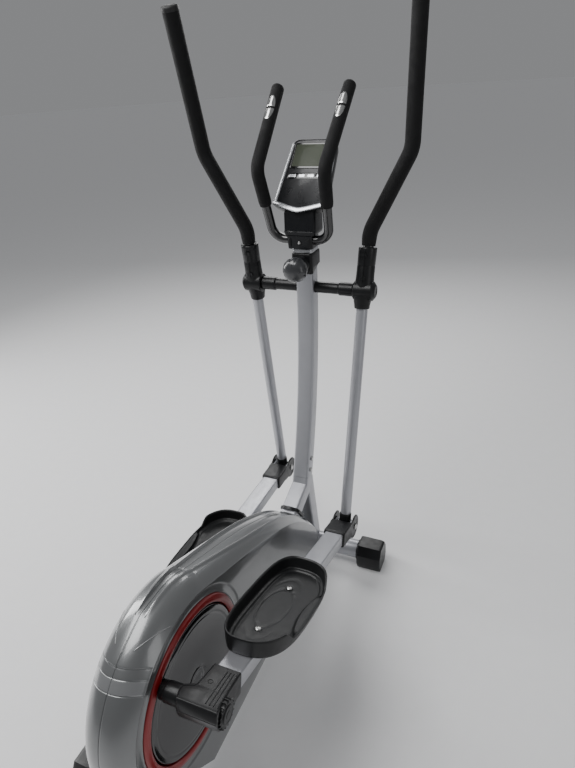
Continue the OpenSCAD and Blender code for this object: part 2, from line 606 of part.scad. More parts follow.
// the frame of the handle's straight lower end
module on_handle() translate(arm_path[0]) rotate([0, acos(arm_w[2]), atan2(arm_w[1], arm_w[0])]) children();
module swing_cover(k) color(black) arm_frame(k) difference() {
    union() {
        xcyl(arm_x - 26, arm_x + 27, 27);
        translate([arm_x + 27, 0, 0]) rotate([0, 90, 0]) cylinder(h = 8, r1 = 27, r2 = 17);
        on_handle() translate([0, 0, -28]) cylinder(h = 116, d = 50);
        translate([arm_x - 2, 0, -48]) cylinder(h = 46, r1 = 21, r2 = 25);
    }
    xcyl(arm_x - 40, arm_x + boss_half + 0.5, axle_d / 2 + 1);
    xcyl(arm_x - boss_half - 0.3, arm_x + boss_half + 0.3, 20.3);
    xcyl(arm_x, arm_x + 30, axle_d / 2 + 0.4);
    on_handle() translate([0, 0, -14]) cylinder(h = 140, d = 30.8);
    rod(arm_foot, [arm_x, 0, -10], tube_d + 0.8);
}
module swing_cover_right() swing_cover(0);
module swing_cover_left() swing_cover(1);

module swing_handle(k) color(black) arm_frame(k) tube(route(arm_path, 90), 15, 15 - wall);
module swing_handle_right() swing_handle(0);
module swing_handle_left() swing_handle(1);

grip_path = [arm_path[0] + arm_w * 96, arm_path[1], arm_path[2], arm_path[3]];
module swing_grip(k) color(dark) arm_frame(k) sock(route(grip_path, 90), grip_od / 2, 15.3, 12);
module swing_grip_right() swing_grip(0);
module swing_grip_left() swing_grip(1);

// ---- foot rails: the lower pivot at the origin, running towards -Y, right-hand side ----
module rail(k) color(silver) rail_frame(k) difference() {
    union() {
        difference() {
            block([-rail_w / 2, -792, -rail_h / 2], [rail_w / 2, -50, rail_h / 2]);
            block([-rail_w / 2 + wall, -800, -rail_h / 2 + wall], [rail_w / 2 - wall, -56, rail_h / 2 - wall]);
        }
        for (s = [-1, 1]) translate([s * 24.4 - 2.5, 0, 0]) {
            block([0, -54, -rail_h / 2], [5, 0, rail_h / 2]);
            xcyl(0, 5, rail_h / 2);
        }
        translate([0, -rail_len, 0]) xcyl(-58, 26, 19);
        block([-26, -rail_len, -15], [26, -788, 15]);
    }
    xcyl(-40, 40, 6 + fit);
    translate([0, -rail_len, 0]) xcyl(-60, 30, 10 + fit);
    for (s = screw_s) translate([0, -s, 10]) cylinder(h = 20, r = 3.2);
}
module rail_right() rail(0);
module rail_left() rail(1);

module front_cover(k) color(black) rail_frame(k) difference() {
    union() {
        xcyl(-32.5, 32.5, 36);
        block([-32.5, -108, -22.5], [32.5, 0, 23]);
    }
    block([-27.4, -110, -rail_h / 2 - 0.4], [27.4, 40, rail_h / 2 + 0.4]);
    xcyl(-27.4, 27.4, 33);
    block([-19, -36, 0], [19, 40, 60]);
    block([-19, 0, -60], [19, 60, 60]);
    xcyl(-60, 60, 6 + fit);
}
module front_cover_right() front_cover(0);
module front_cover_left() front_cover(1);

sleeve_in = sleeve_x - rail_x;
module rear_cover(k) color(black) rail_frame(k) difference() {
    union() {
        // flat-topped body that widens over the crank pin
        intersection() {
            translate([0, 0, -30]) linear_extrude(57.5) polygon([[-30, -748], [30, -748], [34.5, -815],
                [41, -862], [-43, -862], [-52, -842], [-52, -824], [-31, -812]]);
            along_x(-60, 60) polygon([[-740, -24], [-740, 25], [-862.5, 27.5], [-862.5, 4], [-846, -29], [-800, -29], [-780, -24]]);
        }
        translate([0, -rail_len, 0]) {
            xcyl(34, 46, 25);
            xcyl(sleeve_in, -49, 18.5);
            xcyl(sleeve_in + 12, -49, 20.5);
        }
    }
    block([-27.4, -rail_len, -rail_h / 2 - 0.4], [27.4, -740, rail_h / 2 + 0.4]);
    translate([0, -rail_len, 0]) {
        xcyl(-58.4, 26.4, 19.4);
        xcyl(-200, 0, 10 + fit);
        xcyl(26, 32.5, 14.4);
    }
}
module rear_cover_right() rear_cover(0);
module rear_cover_left() rear_cover(1);

// front bolt and rear crank bolt of one rail
module pivot_bolts(k) color(metal) rail_frame(k) {
    xcyl(-33.5, 33.5, 6);
    xcyl(32.6, 38, 9.5);
    xcyl(-38, -32.6, 9.5);
    translate([0, -rail_len, 0]) {
        xcyl(sleeve_in + 0.5, 26, 10);
        xcyl(26.1, 32, 14);
    }
}
module pivot_bolts_right() pivot_bolts(0);
module pivot_bolts_left() pivot_bolts(1);

// pedal outline: straight on the inner side, bowed on the outer side; e insets it
pedal_in = 63;
function tread(e) = [for (i = [0:95]) let (a = i * 360 / 96, c = cos(a), s = sin(a))
    [c < 0 ? -(pedal_in - e) * pow(-c, 0.6) : (pedal_w - pedal_in - e) * pow(c, 0.78),
     -pedal_mid + (pedal_len / 2 - e) * sign(s) * pow(abs(s), 0.62)]];
pedal_floor = 25;
ledge_r = 238;       // radius of the arc between the well's floor and the outer ledge
module pedal(k) color(black) rail_frame(k) difference() {
    translate([0, 0, rail_h / 2 + 0.3]) linear_extrude(pedal_top - rail_h / 2 - 0.3) polygon(tread(0));
    translate([0, 0, pedal_floor]) linear_extrude(60) difference() {
        polygon(tread(6));
        translate([67 + ledge_r, -pedal_mid - 6]) circle(ledge_r, $fn = 180);
    }
    // the outer side is a low ledge, so that the foot steps in
    translate([30, -pedal_mid, 38]) rotate([90, 0, 90]) linear_extrude(80)
        polygon([[-100, 0], [100, 0], [130, 40], [-130, 40]]);
    for (s = screw_s) translate([0, -s, 0]) cylinder(h = 60, r = 3.2);
}
module pedal_right() pedal(0);
module pedal_left() pedal(1);
module pedal_screws(k) color(metal) rail_frame(k) for (s = screw_s) translate([0, -s, 12]) {
    cylinder(h = 14, r = 3);
    translate([0, 0, pedal_floor - 12 + 0.1]) cylinder(h = 3, r = 7.5);
}
module pedal_screws_right() pedal_screws(0);
module pedal_screws_left() pedal_screws(1);

main_frame();
front_stabiliser();
rear_stabiliser();
front_caps();
rear_caps();
wheel_left();
wheel_right();
mast();
mast_bolts();
swing_axle();
axle_sleeves();
mast_shroud();
handlebar();
handlebar_grips();
pulse_sensors();
handlebar_clamp();
housing_left();
housing_right();
side_rings();
nose_collar();
crank_bearings();
flywheel_axle();
drive_belt();
console_back();
console_face();
console_trim();
console_lens();
button_1();
button_2();
button_3();
button_4();
tension_knob();
magnet_bracket();
crank_axle();
crank_arms();
crank_discs();
hub_caps();
drive_pulley();
flywheel();
idler_pulley();
swing_tube_right();
swing_cover_right();
swing_handle_right();
swing_grip_right();
rail_right();
front_cover_right();
rear_cover_right();
pedal_right();
pedal_screws_right();
pivot_bolts_right();
swing_tube_left();
swing_cover_left();
swing_handle_left();
swing_grip_left();
rail_left();
front_cover_left();
rear_cover_left();
pedal_left();
pedal_screws_left();
pivot_bolts_left();
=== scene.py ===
import bpy, bmesh, json, math
import numpy as np
from mathutils import Matrix, Vector


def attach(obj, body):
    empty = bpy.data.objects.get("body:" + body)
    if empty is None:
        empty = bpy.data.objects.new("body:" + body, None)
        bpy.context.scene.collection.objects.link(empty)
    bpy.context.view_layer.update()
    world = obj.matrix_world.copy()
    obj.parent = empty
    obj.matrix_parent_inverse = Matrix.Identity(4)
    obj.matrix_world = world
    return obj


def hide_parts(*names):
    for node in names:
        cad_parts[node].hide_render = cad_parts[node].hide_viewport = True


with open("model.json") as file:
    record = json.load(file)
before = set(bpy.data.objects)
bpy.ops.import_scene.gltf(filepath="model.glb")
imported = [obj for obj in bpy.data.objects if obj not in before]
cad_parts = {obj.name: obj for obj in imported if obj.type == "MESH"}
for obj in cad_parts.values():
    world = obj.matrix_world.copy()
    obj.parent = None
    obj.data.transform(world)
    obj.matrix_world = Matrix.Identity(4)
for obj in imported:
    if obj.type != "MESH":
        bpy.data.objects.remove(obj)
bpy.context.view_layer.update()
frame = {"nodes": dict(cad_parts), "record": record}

# ---- dimensions in millimetres, as in the CAD; y is measured from the swing axle, z from the floor ----
AXLE_Y, AXLE_Z = 477.5, 940.0
ARM_X, RAIL_X, ARM_LEN, RAIL_LEN = 165.0, 156.0, 716.0, 827.0
CRANK_Y, CRANK_Z, CRANK_R, PHASE = -859.0, 368.0, 153.0, 48.2
DRUM_R, DRUM_HALF, CROWN = 206.0, 57.0, 32.0
FRONT_Y, REAR_Y, STAB_Z = -62.0, -960.0, 46.0
SIDES = ("right", "left")


def linkage(k):
    a = math.radians(PHASE + 180 * k)
    py, pz = CRANK_Y - CRANK_R * math.cos(a), CRANK_Z + CRANK_R * math.sin(a)
    span = math.hypot(py, AXLE_Z - pz)
    reach = (ARM_LEN ** 2 - RAIL_LEN ** 2 + span ** 2) / (2 * span)
    lift = math.sqrt(ARM_LEN ** 2 - reach ** 2)
    fy = (reach * py + lift * (AXLE_Z - pz)) / span
    fz = AXLE_Z + (reach * (pz - AXLE_Z) + lift * py) / span
    return fy, fz, math.atan2(fy, AXLE_Z - fz), math.atan2(pz - fz, fy - py)


def T(x, y, z):
    return Matrix.Translation((x, y, z))


def R(deg, axis):
    return Matrix.Rotation(math.radians(deg), 4, axis)


ONE = Matrix()
FLIP = Matrix.Scale(-1, 4, (1, 0, 0))
PLACE = T(0, AXLE_Y, 0)


def flip(k):
    return FLIP if k else ONE


def arm_frame(k):
    return PLACE @ T(0, 0, AXLE_Z) @ R(math.degrees(linkage(k)[2]), "X") @ flip(k)


def rail_frame(k):
    fy, fz, _, tilt = linkage(k)
    return PLACE @ T(-RAIL_X if k else RAIL_X, fy, fz) @ R(-math.degrees(tilt), "X") @ flip(k)


# ---- materials ----
def material(name, color, rough, metal=0.0, coat=0.0, coat_rough=0.03, grain=0, depth=0.0, mottle=0.06,
             rough_var=0.06, flakes=0.0, sheen=0.0, cells=False, spec=0.5):
    m = bpy.data.materials.new(name)
    m.use_nodes = True
    nt = m.node_tree
    b = nt.nodes["Principled BSDF"]
    new, link = nt.nodes.new, nt.links.new
    co = new("ShaderNodeTexCoord").outputs["Object"]

    def noise(scale, detail=3.0):
        n = new("ShaderNodeTexNoise")
        n.inputs["Scale"].default_value = scale
        n.inputs["Detail"].default_value = detail
        link(co, n.inputs["Vector"])
        return n.outputs["Fac"]

    def ranged(src, lo, hi, a=0.3, z=0.7):
        r = new("ShaderNodeMapRange")
        r.inputs["From Min"].default_value, r.inputs["From Max"].default_value = a, z
        r.inputs["To Min"].default_value, r.inputs["To Max"].default_value = lo, hi
        link(src, r.inputs["Value"])
        return r.outputs["Result"]

    ramp = new("ShaderNodeValToRGB")
    ramp.color_ramp.elements[0].position, ramp.color_ramp.elements[1].position = 0.3, 0.7
    ramp.color_ramp.elements[0].color = [c * (1 - mottle) for c in color] + [1]
    ramp.color_ramp.elements[1].color = [min(1, c * (1 + mottle)) for c in color] + [1]
    link(noise(24), ramp.inputs["Fac"])
    out = ramp.outputs["Color"]
    if flakes:
        v = new("ShaderNodeTexVoronoi")
        v.inputs["Scale"].default_value = 1400
        link(co, v.inputs["Vector"])
        mix = new("ShaderNodeMix")
        mix.data_type, mix.blend_type = "RGBA", "ADD"
        link(ranged(v.outputs["Distance"], flakes, 0.0, 0.05, 0.35), mix.inputs["Factor"])
        link(out, mix.inputs[6])
        mix.inputs[7].default_value = (0.8, 0.82, 0.85, 1)
        out = mix.outputs[2]
    link(out, b.inputs["Base Color"])
    link(ranged(noise(60, 4), rough - rough_var, rough + rough_var), b.inputs["Roughness"])
    b.inputs["Metallic"].default_value = metal
    b.inputs["Specular IOR Level"].default_value = spec
    b.inputs["Coat Weight"].default_value = coat
    b.inputs["Coat Roughness"].default_value = coat_rough
    if sheen:
        b.inputs["Sheen Weight"].default_value = sheen
        b.inputs["Sheen Roughness"].default_value = 0.5
    if depth:
        bump = new("ShaderNodeBump")
        bump.inputs["Strength"].default_value = 1.0
        bump.inputs["Distance"].default_value = depth
        if cells:
            v = new("ShaderNodeTexVoronoi")
            v.inputs["Scale"].default_value = grain
            link(co, v.inputs["Vector"])
            link(v.outputs["Distance"], bump.inputs["Height"])
        else:
            link(noise(grain, 2), bump.inputs["Height"])
        link(bump.outputs["Normal"], b.inputs["Normal"])
    return m


M = {
    "silver": material("silver_paint", (0.40, 0.405, 0.43), 0.36, metal=0.6, coat=0.3, coat_rough=0.18,
                       flakes=0.06, mottle=0.03, grain=900, depth=0.000012),
    "black_paint": material("black_paint", (0.006, 0.006, 0.007), 0.24, coat=0.8, coat_rough=0.08, grain=600,
                            depth=0.00001),
    "steel": material("zinc_steel", (0.55, 0.55, 0.54), 0.3, metal=1.0, grain=900, depth=0.00002),
    "cast": material("cast_iron", (0.13, 0.13, 0.135), 0.45, metal=0.9, grain=500, depth=0.00006),
    "shell": material("shell_paint", (0.17, 0.175, 0.177), 0.30, metal=0.55, coat=0.9, coat_rough=0.09,
                      flakes=0.004, mottle=0.015, rough_var=0.012, grain=1300, depth=0.000002),
    # lighter paint for the band between the seams; the flank line bead also uses it, as a painted highlight
    "panel": material("panel_paint", (0.27, 0.275, 0.28), 0.26, metal=0.55, coat=0.9, coat_rough=0.07,
                      flakes=0.004, mottle=0.015, rough_var=0.012, grain=1300, depth=0.000002),
    # lighter grey for the bead along the ridge crest: a painted highlight
    "crest_highlight": material("crest_highlight_paint", (0.36, 0.365, 0.37), 0.22, metal=0.55, coat=0.9, coat_rough=0.06,
                      mottle=0.015, rough_var=0.012, grain=1300, depth=0.000002),
    "red": material("red_metallic", (0.26, 0.001, 0.003), 0.34, metal=0.2, coat=0.35, coat_rough=0.10, flakes=0.012,
                    mottle=0.03, grain=1000, depth=0.000006),
    "gloss": material("gloss_black", (0.004, 0.004, 0.0045), 0.14, coat=0.6, coat_rough=0.03, rough_var=0.03,
                      grain=300, depth=0.000004),
    "plastic": material("grained_black", (0.0085, 0.0088, 0.0095), 0.34, grain=1100, depth=0.00004, spec=0.32),
    "tread": material("tread_black", (0.011, 0.0115, 0.012), 0.38, grain=700, depth=0.00007, spec=0.35),
    "silver_plastic": material("silver_lacquer", (0.58, 0.59, 0.61), 0.24, metal=0.7, coat=0.6, coat_rough=0.06,
                               mottle=0.03, grain=900, depth=0.000006),
    "face": material("face_plastic", (0.006, 0.0065, 0.008), 0.3, coat=0.15, coat_rough=0.08, grain=900,
                     depth=0.00001, spec=0.3),
    "foam": material("foam", (0.0045, 0.0045, 0.005), 0.72, grain=1500, depth=0.0002, sheen=0.04, cells=True,
                     spec=0.25),
    "rubber": material("rubber", (0.008, 0.008, 0.0085), 0.6, grain=800, depth=0.00010),
    "lcd": material("display", (0.045, 0.054, 0.034), 0.45, spec=0.2, coat=0.06, coat_rough=0.06, mottle=0.03,
                    grain=1500, depth=0.000004),
    "chrome": material("pulse_steel", (0.60, 0.60, 0.59), 0.2, metal=1.0, grain=1500, depth=0.00001),
    "knob": material("knob_soft", (0.03, 0.031, 0.034), 0.30, coat=0.5, coat_rough=0.12, mottle=0.03, grain=1000,
                     depth=0.00002),
    # blacker than the black plastic, for the rear cover's screw hole: painted shade
    "dark": material("screw_hole_shade_black", (0.003, 0.003, 0.003), 0.6, grain=600, depth=0.00003),
}
for slot_name, node_mat in {"silver_paint": "silver", "black_paint": "black_paint", "steel": "steel",
                            "cast": "cast",
                            "shell": "shell", "red_ring": "red", "disc_black": "gloss", "black_plastic": "plastic",
                            "silver_plastic": "silver_plastic", "face_plastic": "face", "foam": "foam",
                            "rubber_black": "rubber", "lcd": "lcd"}.items():
    for part in frame["record"]["subparts"]:
        if part["material_slot"] == slot_name:
            mesh = frame["nodes"][part["node"]].data
            mesh.materials.clear()
            mesh.materials.append(M[node_mat])
BODY = {n: b for b, ns in frame["record"]["behaviour"]["bodies"].items() for n in ns}


# ---- mesh helpers ----
def emit(name, mesh, m, node, mat, stands=True, bevel=0.0, segs=3, sub=0, sharp=40.0, turn=30):
    verts, faces = mesh
    mm = np.array(m)
    co = (np.array(verts, float).reshape(-1, 3) @ mm[:3, :3].T + mm[:3, 3]) * 0.001
    me = bpy.data.meshes.new(name)
    me.from_pydata(co.tolist(), [], faces)
    bm = bmesh.new()
    bm.from_mesh(me)
    bmesh.ops.remove_doubles(bm, verts=bm.verts, dist=2e-6)
    bmesh.ops.dissolve_degenerate(bm, edges=bm.edges, dist=1e-6)
    bmesh.ops.recalc_face_normals(bm, faces=bm.faces)
    bm.to_mesh(me)
    bm.free()
    me.polygons.foreach_set("use_smooth", [True] * len(me.polygons))
    o = bpy.data.objects.new(name, me)
    bpy.context.scene.collection.objects.link(o)
    me.materials.append(M[mat])
    if bevel:
        b = o.modifiers.new("round", "BEVEL")
        b.width, b.segments, b.limit_method = bevel * 0.001, segs, "ANGLE"
        b.angle_limit, b.harden_normals, b.use_clamp_overlap = math.radians(turn), True, True
    elif sharp:
        me.set_sharp_from_angle(angle=math.radians(sharp))
    if sub:
        s = o.modifiers.new("smooth", "SUBSURF")
        s.levels = s.render_levels = sub
    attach(o, BODY[node])
    if stands:
        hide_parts(node)
    return o


def loft(rings, caps=True):
    n = len(rings[0])
    v = [tuple(p) for r in rings for p in r]
    f = [(i * n + k, i * n + (k + 1) % n, (i + 1) * n + (k + 1) % n, (i + 1) * n + k)
         for i in range(len(rings) - 1) for k in range(n)]
    if caps:
        f += [tuple(range(n))[::-1], tuple(range(len(v) - n, len(v)))]
    return v, f


def joined(*meshes):
    v, f = [], []
    for mv, mf in meshes:
        f += [tuple(i + len(v) for i in q) for q in mf]
        v += list(mv)
    return v, f


def moved(mesh, m):
    return [tuple(m @ Vector(p)) for p in mesh[0]], mesh[1]


def rrect(x0, x1, y0, y1, r, n=5):
    r = min(r, (x1 - x0) / 2 - 0.01, (y1 - y0) / 2 - 0.01)
    out = []
    for cx, cy, a0 in ((x1 - r, y1 - r, 0), (x0 + r, y1 - r, 90), (x0 + r, y0 + r, 180), (x1 - r, y0 + r, 270)):
        for i in range(n + 1):
            a = math.radians(a0 + 90 * i / n)
            out.append((cx + r * math.cos(a), cy + r * math.sin(a)))
    return out


def lathe(profile, n=96, axis="X"):
    """profile is [(along, radius)], from one end to the other."""
    rings = []
    for t, r in profile:
        ring = []
        for k in range(n):
            a = 2 * math.pi * k / n
            c, s = max(r, 0.0) * math.cos(a), max(r, 0.0) * math.sin(a)
            ring.append({"X": (t, c, s), "Y": (c, t, s), "Z": (c, s, t)}[axis])
        rings.append(ring)
    return loft(rings, caps=profile[0][1] > 0 or profile[-1][1] > 0)


def rounded(profile, r, n=4):
    """rounds the inner corners of an open 2-D profile."""
    p = [np.array(q, float) for q in profile]
    out = [tuple(p[0])]
    for a, b, c in zip(p, p[1:], p[2:]):
        la, lc = np.linalg.norm(a - b), np.linalg.norm(c - b)
        t = min(r, la * 0.49, lc * 0.49)
        s, e = b + (a - b) / la * t, b + (c - b) / lc * t
        for i in range(n + 1):
            u = i / n
            q = s * (1 - u) ** 2 + 2 * b * u * (1 - u) + e * u * u
            out.append(tuple(q))
    return out + [tuple(p[-1])]


def route(points, r, n=10):
    p = [np.array(q, float) for q in points]
    out = [p[0]]
    for a, b, c in zip(p, p[1:], p[2:]):
        u, v = (a - b) / np.linalg.norm(a - b), (c - b) / np.linalg.norm(c - b)
        th = math.acos(float(np.dot(u, v)))
        t = r / math.tan(th / 2)
        mid = b + (u + v) / np.linalg.norm(u + v) * r / math.sin(th / 2)
        e1 = (b + u * t - mid) / r
        e3 = np.cross(e1, (b + v * t - mid) / r)
        e3 /= np.linalg.norm(e3)
        e2 = np.cross(e3, e1)
        for i in range(n + 1):
            f = (math.pi - th) * i / n
            out.append(mid + r * (e1 * math.cos(f) + e2 * math.sin(f)))
    return out + [p[-1]]


def sweep(path, radius, n=40, ends=((1.0, 0.0),)):
    """round tube along a path; radius is a number or a function of the distance along it.
    ends is [(share of the radius, distance past the end)] for the far cap."""
    p = [np.array(q, float) for q in path]
    tan = [p[min(i + 1, len(p) - 1)] - p[max(i - 1, 0)] for i in range(len(p))]
    tan = [t / np.linalg.norm(t) for t in tan]
    e = np.cross(tan[0], [1, 0, 0] if abs(tan[0][0]) < 0.7 else [0, 0, 1])
    rings, dist = [], 0.0
    fr = []
    for i, q in enumerate(p):
        if i:
            dist += np.linalg.norm(q - p[i - 1])
        e = e - tan[i] * np.dot(e, tan[i])
        e /= np.linalg.norm(e)
        fr.append((q, e.copy(), np.cross(tan[i], e), dist))
    def ring(q, e1, e2, r):
        return [q + r * (e1 * math.cos(2 * math.pi * k / n) + e2 * math.sin(2 * math.pi * k / n)) for k in range(n)]
    rad = radius if callable(radius) else (lambda s: radius)
    for q, e1, e2, s in fr:
        rings.append(ring(q, e1, e2, rad(s)))
    q, e1, e2, s = fr[-1]
    for share, past in ends:
        if past:
            rings.append(ring(q + tan[-1] * past, e1, e2, rad(s) * share))
    return loft(rings)


def dense(path, step):
    out = [np.array(path[0], float)]
    for a, b in zip(path, path[1:]):
        a, b = np.array(a, float), np.array(b, float)
        m = max(1, int(np.linalg.norm(b - a) / step))
        out += [a + (b - a) * i / m for i in range(1, m + 1)]
    return out


def prism(poly, h0, h1, to=lambda x, y, h: (x, y, h)):
    n = len(poly)
    v = [to(x, y, h0) for x, y in poly] + [to(x, y, h1) for x, y in poly]
    f = [(i, (i + 1) % n, n + (i + 1) % n, n + i) for i in range(n)]
    return v, f + [tuple(range(n))[::-1], tuple(range(n, 2 * n))]


def disc(c, r, n=48, a0=0.0, a1=360.0):
    return [(c[0] + r * math.cos(math.radians(a0 + (a1 - a0) * i / n)),
             c[1] + r * math.sin(math.radians(a0 + (a1 - a0) * i / n))) for i in range(n)]


def smooth(a, b, v):
    t = min(1.0, max(0.0, (v - a) / (b - a)))
    return t * t * (3 - 2 * t)


# ---- housing ----
NOSE_Y, BELLY_Z = -125.0, 72.0
TOP = [(CRANK_Y + DRUM_R * math.cos(math.radians(66)), CRANK_Z + DRUM_R * math.sin(math.radians(66))),
       (-580, 475), (-330, 395), (-190, 228)]


def bez(p, t):
    w = ((1 - t) ** 3, 3 * t * (1 - t) ** 2, 3 * t * t * (1 - t), t ** 3)
    return tuple(sum(wi * q[j] for wi, q in zip(w, p)) for j in (0, 1))


SEAMS = ((125.4, 4.6), (130.2, 3.5), (136.3, 2.4))


def row_angles():
    fine = (-0.62, -0.36, -0.18, 0.0, 0.18, 0.36, 0.62)
    near = [s + d for s, _ in SEAMS for d in fine]
    base = [a for lo, hi, step in ((66, 112, 1.0), (112, 150, 0.8), (150, 225.01, 1.2))
            for a in np.arange(lo, hi, step) if all(abs(a - s) > 0.75 for s, _ in SEAMS)]
    return sorted(base + near)


def bend(a):
    return float(np.interp(a, [112, 125.4, 130.2, 136.3, 152], [0, 4.6, 3.5, 2.4, 0]))


ARC = row_angles()


def rest_of_outline():
    hy, hz = CRANK_Y + DRUM_R * math.cos(math.radians(225)), CRANK_Z + DRUM_R * math.sin(math.radians(225))
    low = (hy + hz - BELLY_Z, BELLY_Z)
    pts = [(hy + (low[0] - hy) * i / 14, hz + (low[1] - hz) * i / 14) for i in range(1, 14)]
    pts += [(low[0] + (NOSE_Y - 30 - low[0]) * i / 90, BELLY_Z) for i in range(90)]
    pts += [(NOSE_Y - 30 + 30 * math.sin(math.radians(a)), BELLY_Z + 30 - 30 * math.cos(math.radians(a)))
            for a in np.arange(0, 91, 7.5)]
    pts += [bez([(NOSE_Y, 112), (NOSE_Y, 160), (-165, 203), TOP[3]], i / 24) for i in range(24)]
    pts += [bez(TOP, 1 - i / 150) for i in range(150)]
    return pts


def bez(p, t):
    w = ((1 - t) ** 3, 3 * t * (1 - t) ** 2, 3 * t * t * (1 - t), t ** 3)
    return tuple(sum(wi * q[j] for wi, q in zip(w, p)) for j in (0, 1))


OUT = np.array([(CRANK_Y + DRUM_R * math.cos(math.radians(a)), CRANK_Z + DRUM_R * math.sin(math.radians(a)))
                for a in ARC] + rest_of_outline())


def half_w(y):
    return DRUM_HALF - (DRUM_HALF - 46) * smooth(-520, -140, y)


def crown_at(n):
    return CROWN * min(1, max(0, (n[1] + 0.75) / 0.75)) * (1 - 0.75 * min(1, max(0, (n[0] - 0.3) / 0.7)))


def ridge(i, y):
    """half the width of the channel along the crown's top, and how strong its ridges are."""
    if i < len(ARC):
        along = (104.5 - ARC[i]) * 3.9
    else:
        along = 150 + (y + 775) * 1.05 if y > -775 and i > len(OUT) - 175 else -1
    if along < 0:
        return 11.0, 0.0
    return 11 + 21 * smooth(0, 420, along), smooth(0, 55, along) * smooth(-215, -330, y)


def seam_depth(a, u):
    d = 0.0
    for s, _ in SEAMS:
        d -= 1.3 * smooth(0.42, 0.12, abs(a - s))
    d -= (0.9 * smooth(125.3, 125.6, a) * smooth(130.3, 130.0, a)
          + 0.35 * smooth(130.0, 130.3, a) * smooth(136.5, 136.2, a))
    return d * smooth(0.985, 0.93, u)


def crown_point(i, x, a=None):
    """outline point, its normal, the crown's height there and x as a share of the half width,
    at outline place i (or drum angle a) and x from the middle."""
    if a is not None or i < len(ARC):
        a = ARC[i] if a is None else a
        u = min(1.0, abs(x) / DRUM_HALF)
        b = math.radians(a - bend(a) * u * u)
        n = np.array((math.cos(b), math.sin(b)))
        p = np.array((CRANK_Y, CRANK_Z)) + n * DRUM_R
    else:
        m = len(OUT)
        d = OUT[(i + 1) % m] - OUT[i - 1]
        n = np.array((d[1], -d[0])) / np.linalg.norm(d)
        p = OUT[i]
        u = min(1.0, abs(x) / half_w(p[0]))
    return p, n, crown_at(n), u


def shell():
    m, verts, c = len(OUT), [], np.array((CRANK_Y, CRANK_Z))
    for i in range(m):
        y0 = OUT[i][0]
        w = half_w(y0) if i >= len(ARC) else DRUM_HALF
        r, strong = ridge(i, y0)
        xs = [0.0, 0.5, 1.0, 1.8] + list(np.linspace(3, r - 6, 7))
        xs += [r - 4.6, r - 3.2, r - 2, r - 1, r, r + 1, r + 2.2, r + 3.6, r + 5.4]
        xs += list(np.linspace(r + 7.5, 0.93 * w, 14))
        xs += [0.945 * w, 0.958 * w, 0.97 * w, 0.98 * w, w - 0.6, w - 0.15]
        row = []
        for x in xs:
            p, n, h, u = crown_point(i, x)
            prof = 1 - u ** 2.6
            q = p + n * h * prof
            lift = strong * (-5.0 * smooth(r - 0.5, r - 4.4, x)
                             + 2.4 * smooth(r - 2.5, r + 0.3, x) * smooth(r + 8, r + 1.2, x))
            lift -= 1.2 * smooth(1.3, 0.4, x)
            if i < len(ARC):
                lift += seam_depth(ARC[i], u)
            q = q + n * lift * min(1, h / 8)
            row.append((x, q[0], q[1]))
        p = crown_point(i, w)[0]
        v = p - c
        ro = np.linalg.norm(v)
        v = v / ro
        r0 = min(ro - 1.2, 204.6)
        stops = [ro - 0.7] + [ro + (r0 - ro) * s for s in (0.15, 0.3, 0.45, 0.6, 0.75, 0.88, 1.0)]
        stops += [203.6, 202.6, 201.6, 200.4, 199.4, 198.4, 194, 190, 186, 183.5, 182.2, 181.5, 181.2]
        for s in stops:
            q = c + v * s
            x = (half_w(q[0]) - 3.6 * smooth(203.2, 199.0, s) + 1.6 * smooth(188, 183, s)
                 - 1.4 * smooth(183, 181.2, s))
            row.append((x, q[0], q[1]))
        row.append((w - 8, row[-1][1], row[-1][2]))
        verts.append(row)
    n = len(verts[0])
    flat = [p for row in verts for p in row]
    faces = [(i * n + k, i * n + k + 1, ((i + 1) % m) * n + k + 1, ((i + 1) % m) * n + k)
             for i in range(m) for k in range(n - 1)]
    # the parting plane is closed so that light doesn't pass between the halves
    return flat, faces + [tuple(i * n for i in range(m))]


SHELL = shell()
CREST_END = 104.6  # drum angle, in degrees, where the crest of the ridge runs out
for k, s in enumerate(SIDES):
    half = emit("shell_" + s, SHELL, PLACE @ flip(k), "housing_" + s, "shell", sharp=38)
    half.data.materials.append(M["panel"])
    for f in half.data.polygons:
        x, y, z = f.center[0] * 1000, f.center[1] * 1000 - AXLE_Y, f.center[2] * 1000
        u = abs(x) / DRUM_HALF
        a = math.degrees(math.atan2(z - CRANK_Z, y - CRANK_Y))
        if u < 0.95 and 100 < a < 150 and math.hypot(z - CRANK_Z, y - CRANK_Y) > 204:
            a += bend(a + 3 * u * u) * u * u
            if 130.5 < a < 136.0:
                f.material_index = 1
    # crest of the ridge that borders the channel along the top, drawn as a thin bead in a paint lighter than the
    # shell: a painted highlight along the ridge
    crest_highlight = []
    for i in [*range(len(ARC) - 12, 0, -1), *range(len(OUT) - 1, len(OUT) - 150, -1)]:
        r, strong = ridge(i, OUT[i][0])
        if strong > 0.02 and (i >= len(ARC) or ARC[i] < CREST_END):
            crest_highlight.append((i, r, strong))
    path = []
    for i, r, strong in crest_highlight[::2]:
        pt, n, h, u = crown_point(i, r)
        q = pt + n * (h * (1 - u ** 2.6) + strong * 2.1)
        path.append((r, q[0], q[1]))
    emit("ridge_highlight_bead_" + s, sweep(path, 1.1, 10), PLACE @ flip(k), "housing_" + s, "crest_highlight", stands=False, sharp=0)
    # fine styling line that runs forward and outward over each flank, drawn as a thin bead of the lighter panel
    # paint: the line is a styling line, its brightness a painted highlight
    line = []
    for i in range(33):
        a, x = 117.5 - 17.5 * i / 32, 20 + 34 * (i / 32) ** 0.85
        p, n, h, u = crown_point(0, x, a=a)
        q = p + n * (h * (1 - u ** 2.6) + 0.1)
        line.append((x, q[0], q[1]))
    emit("flank_highlight_line_" + s, sweep(line, 0.75, 10), PLACE @ flip(k), "housing_" + s, "panel", stands=False, sharp=0)

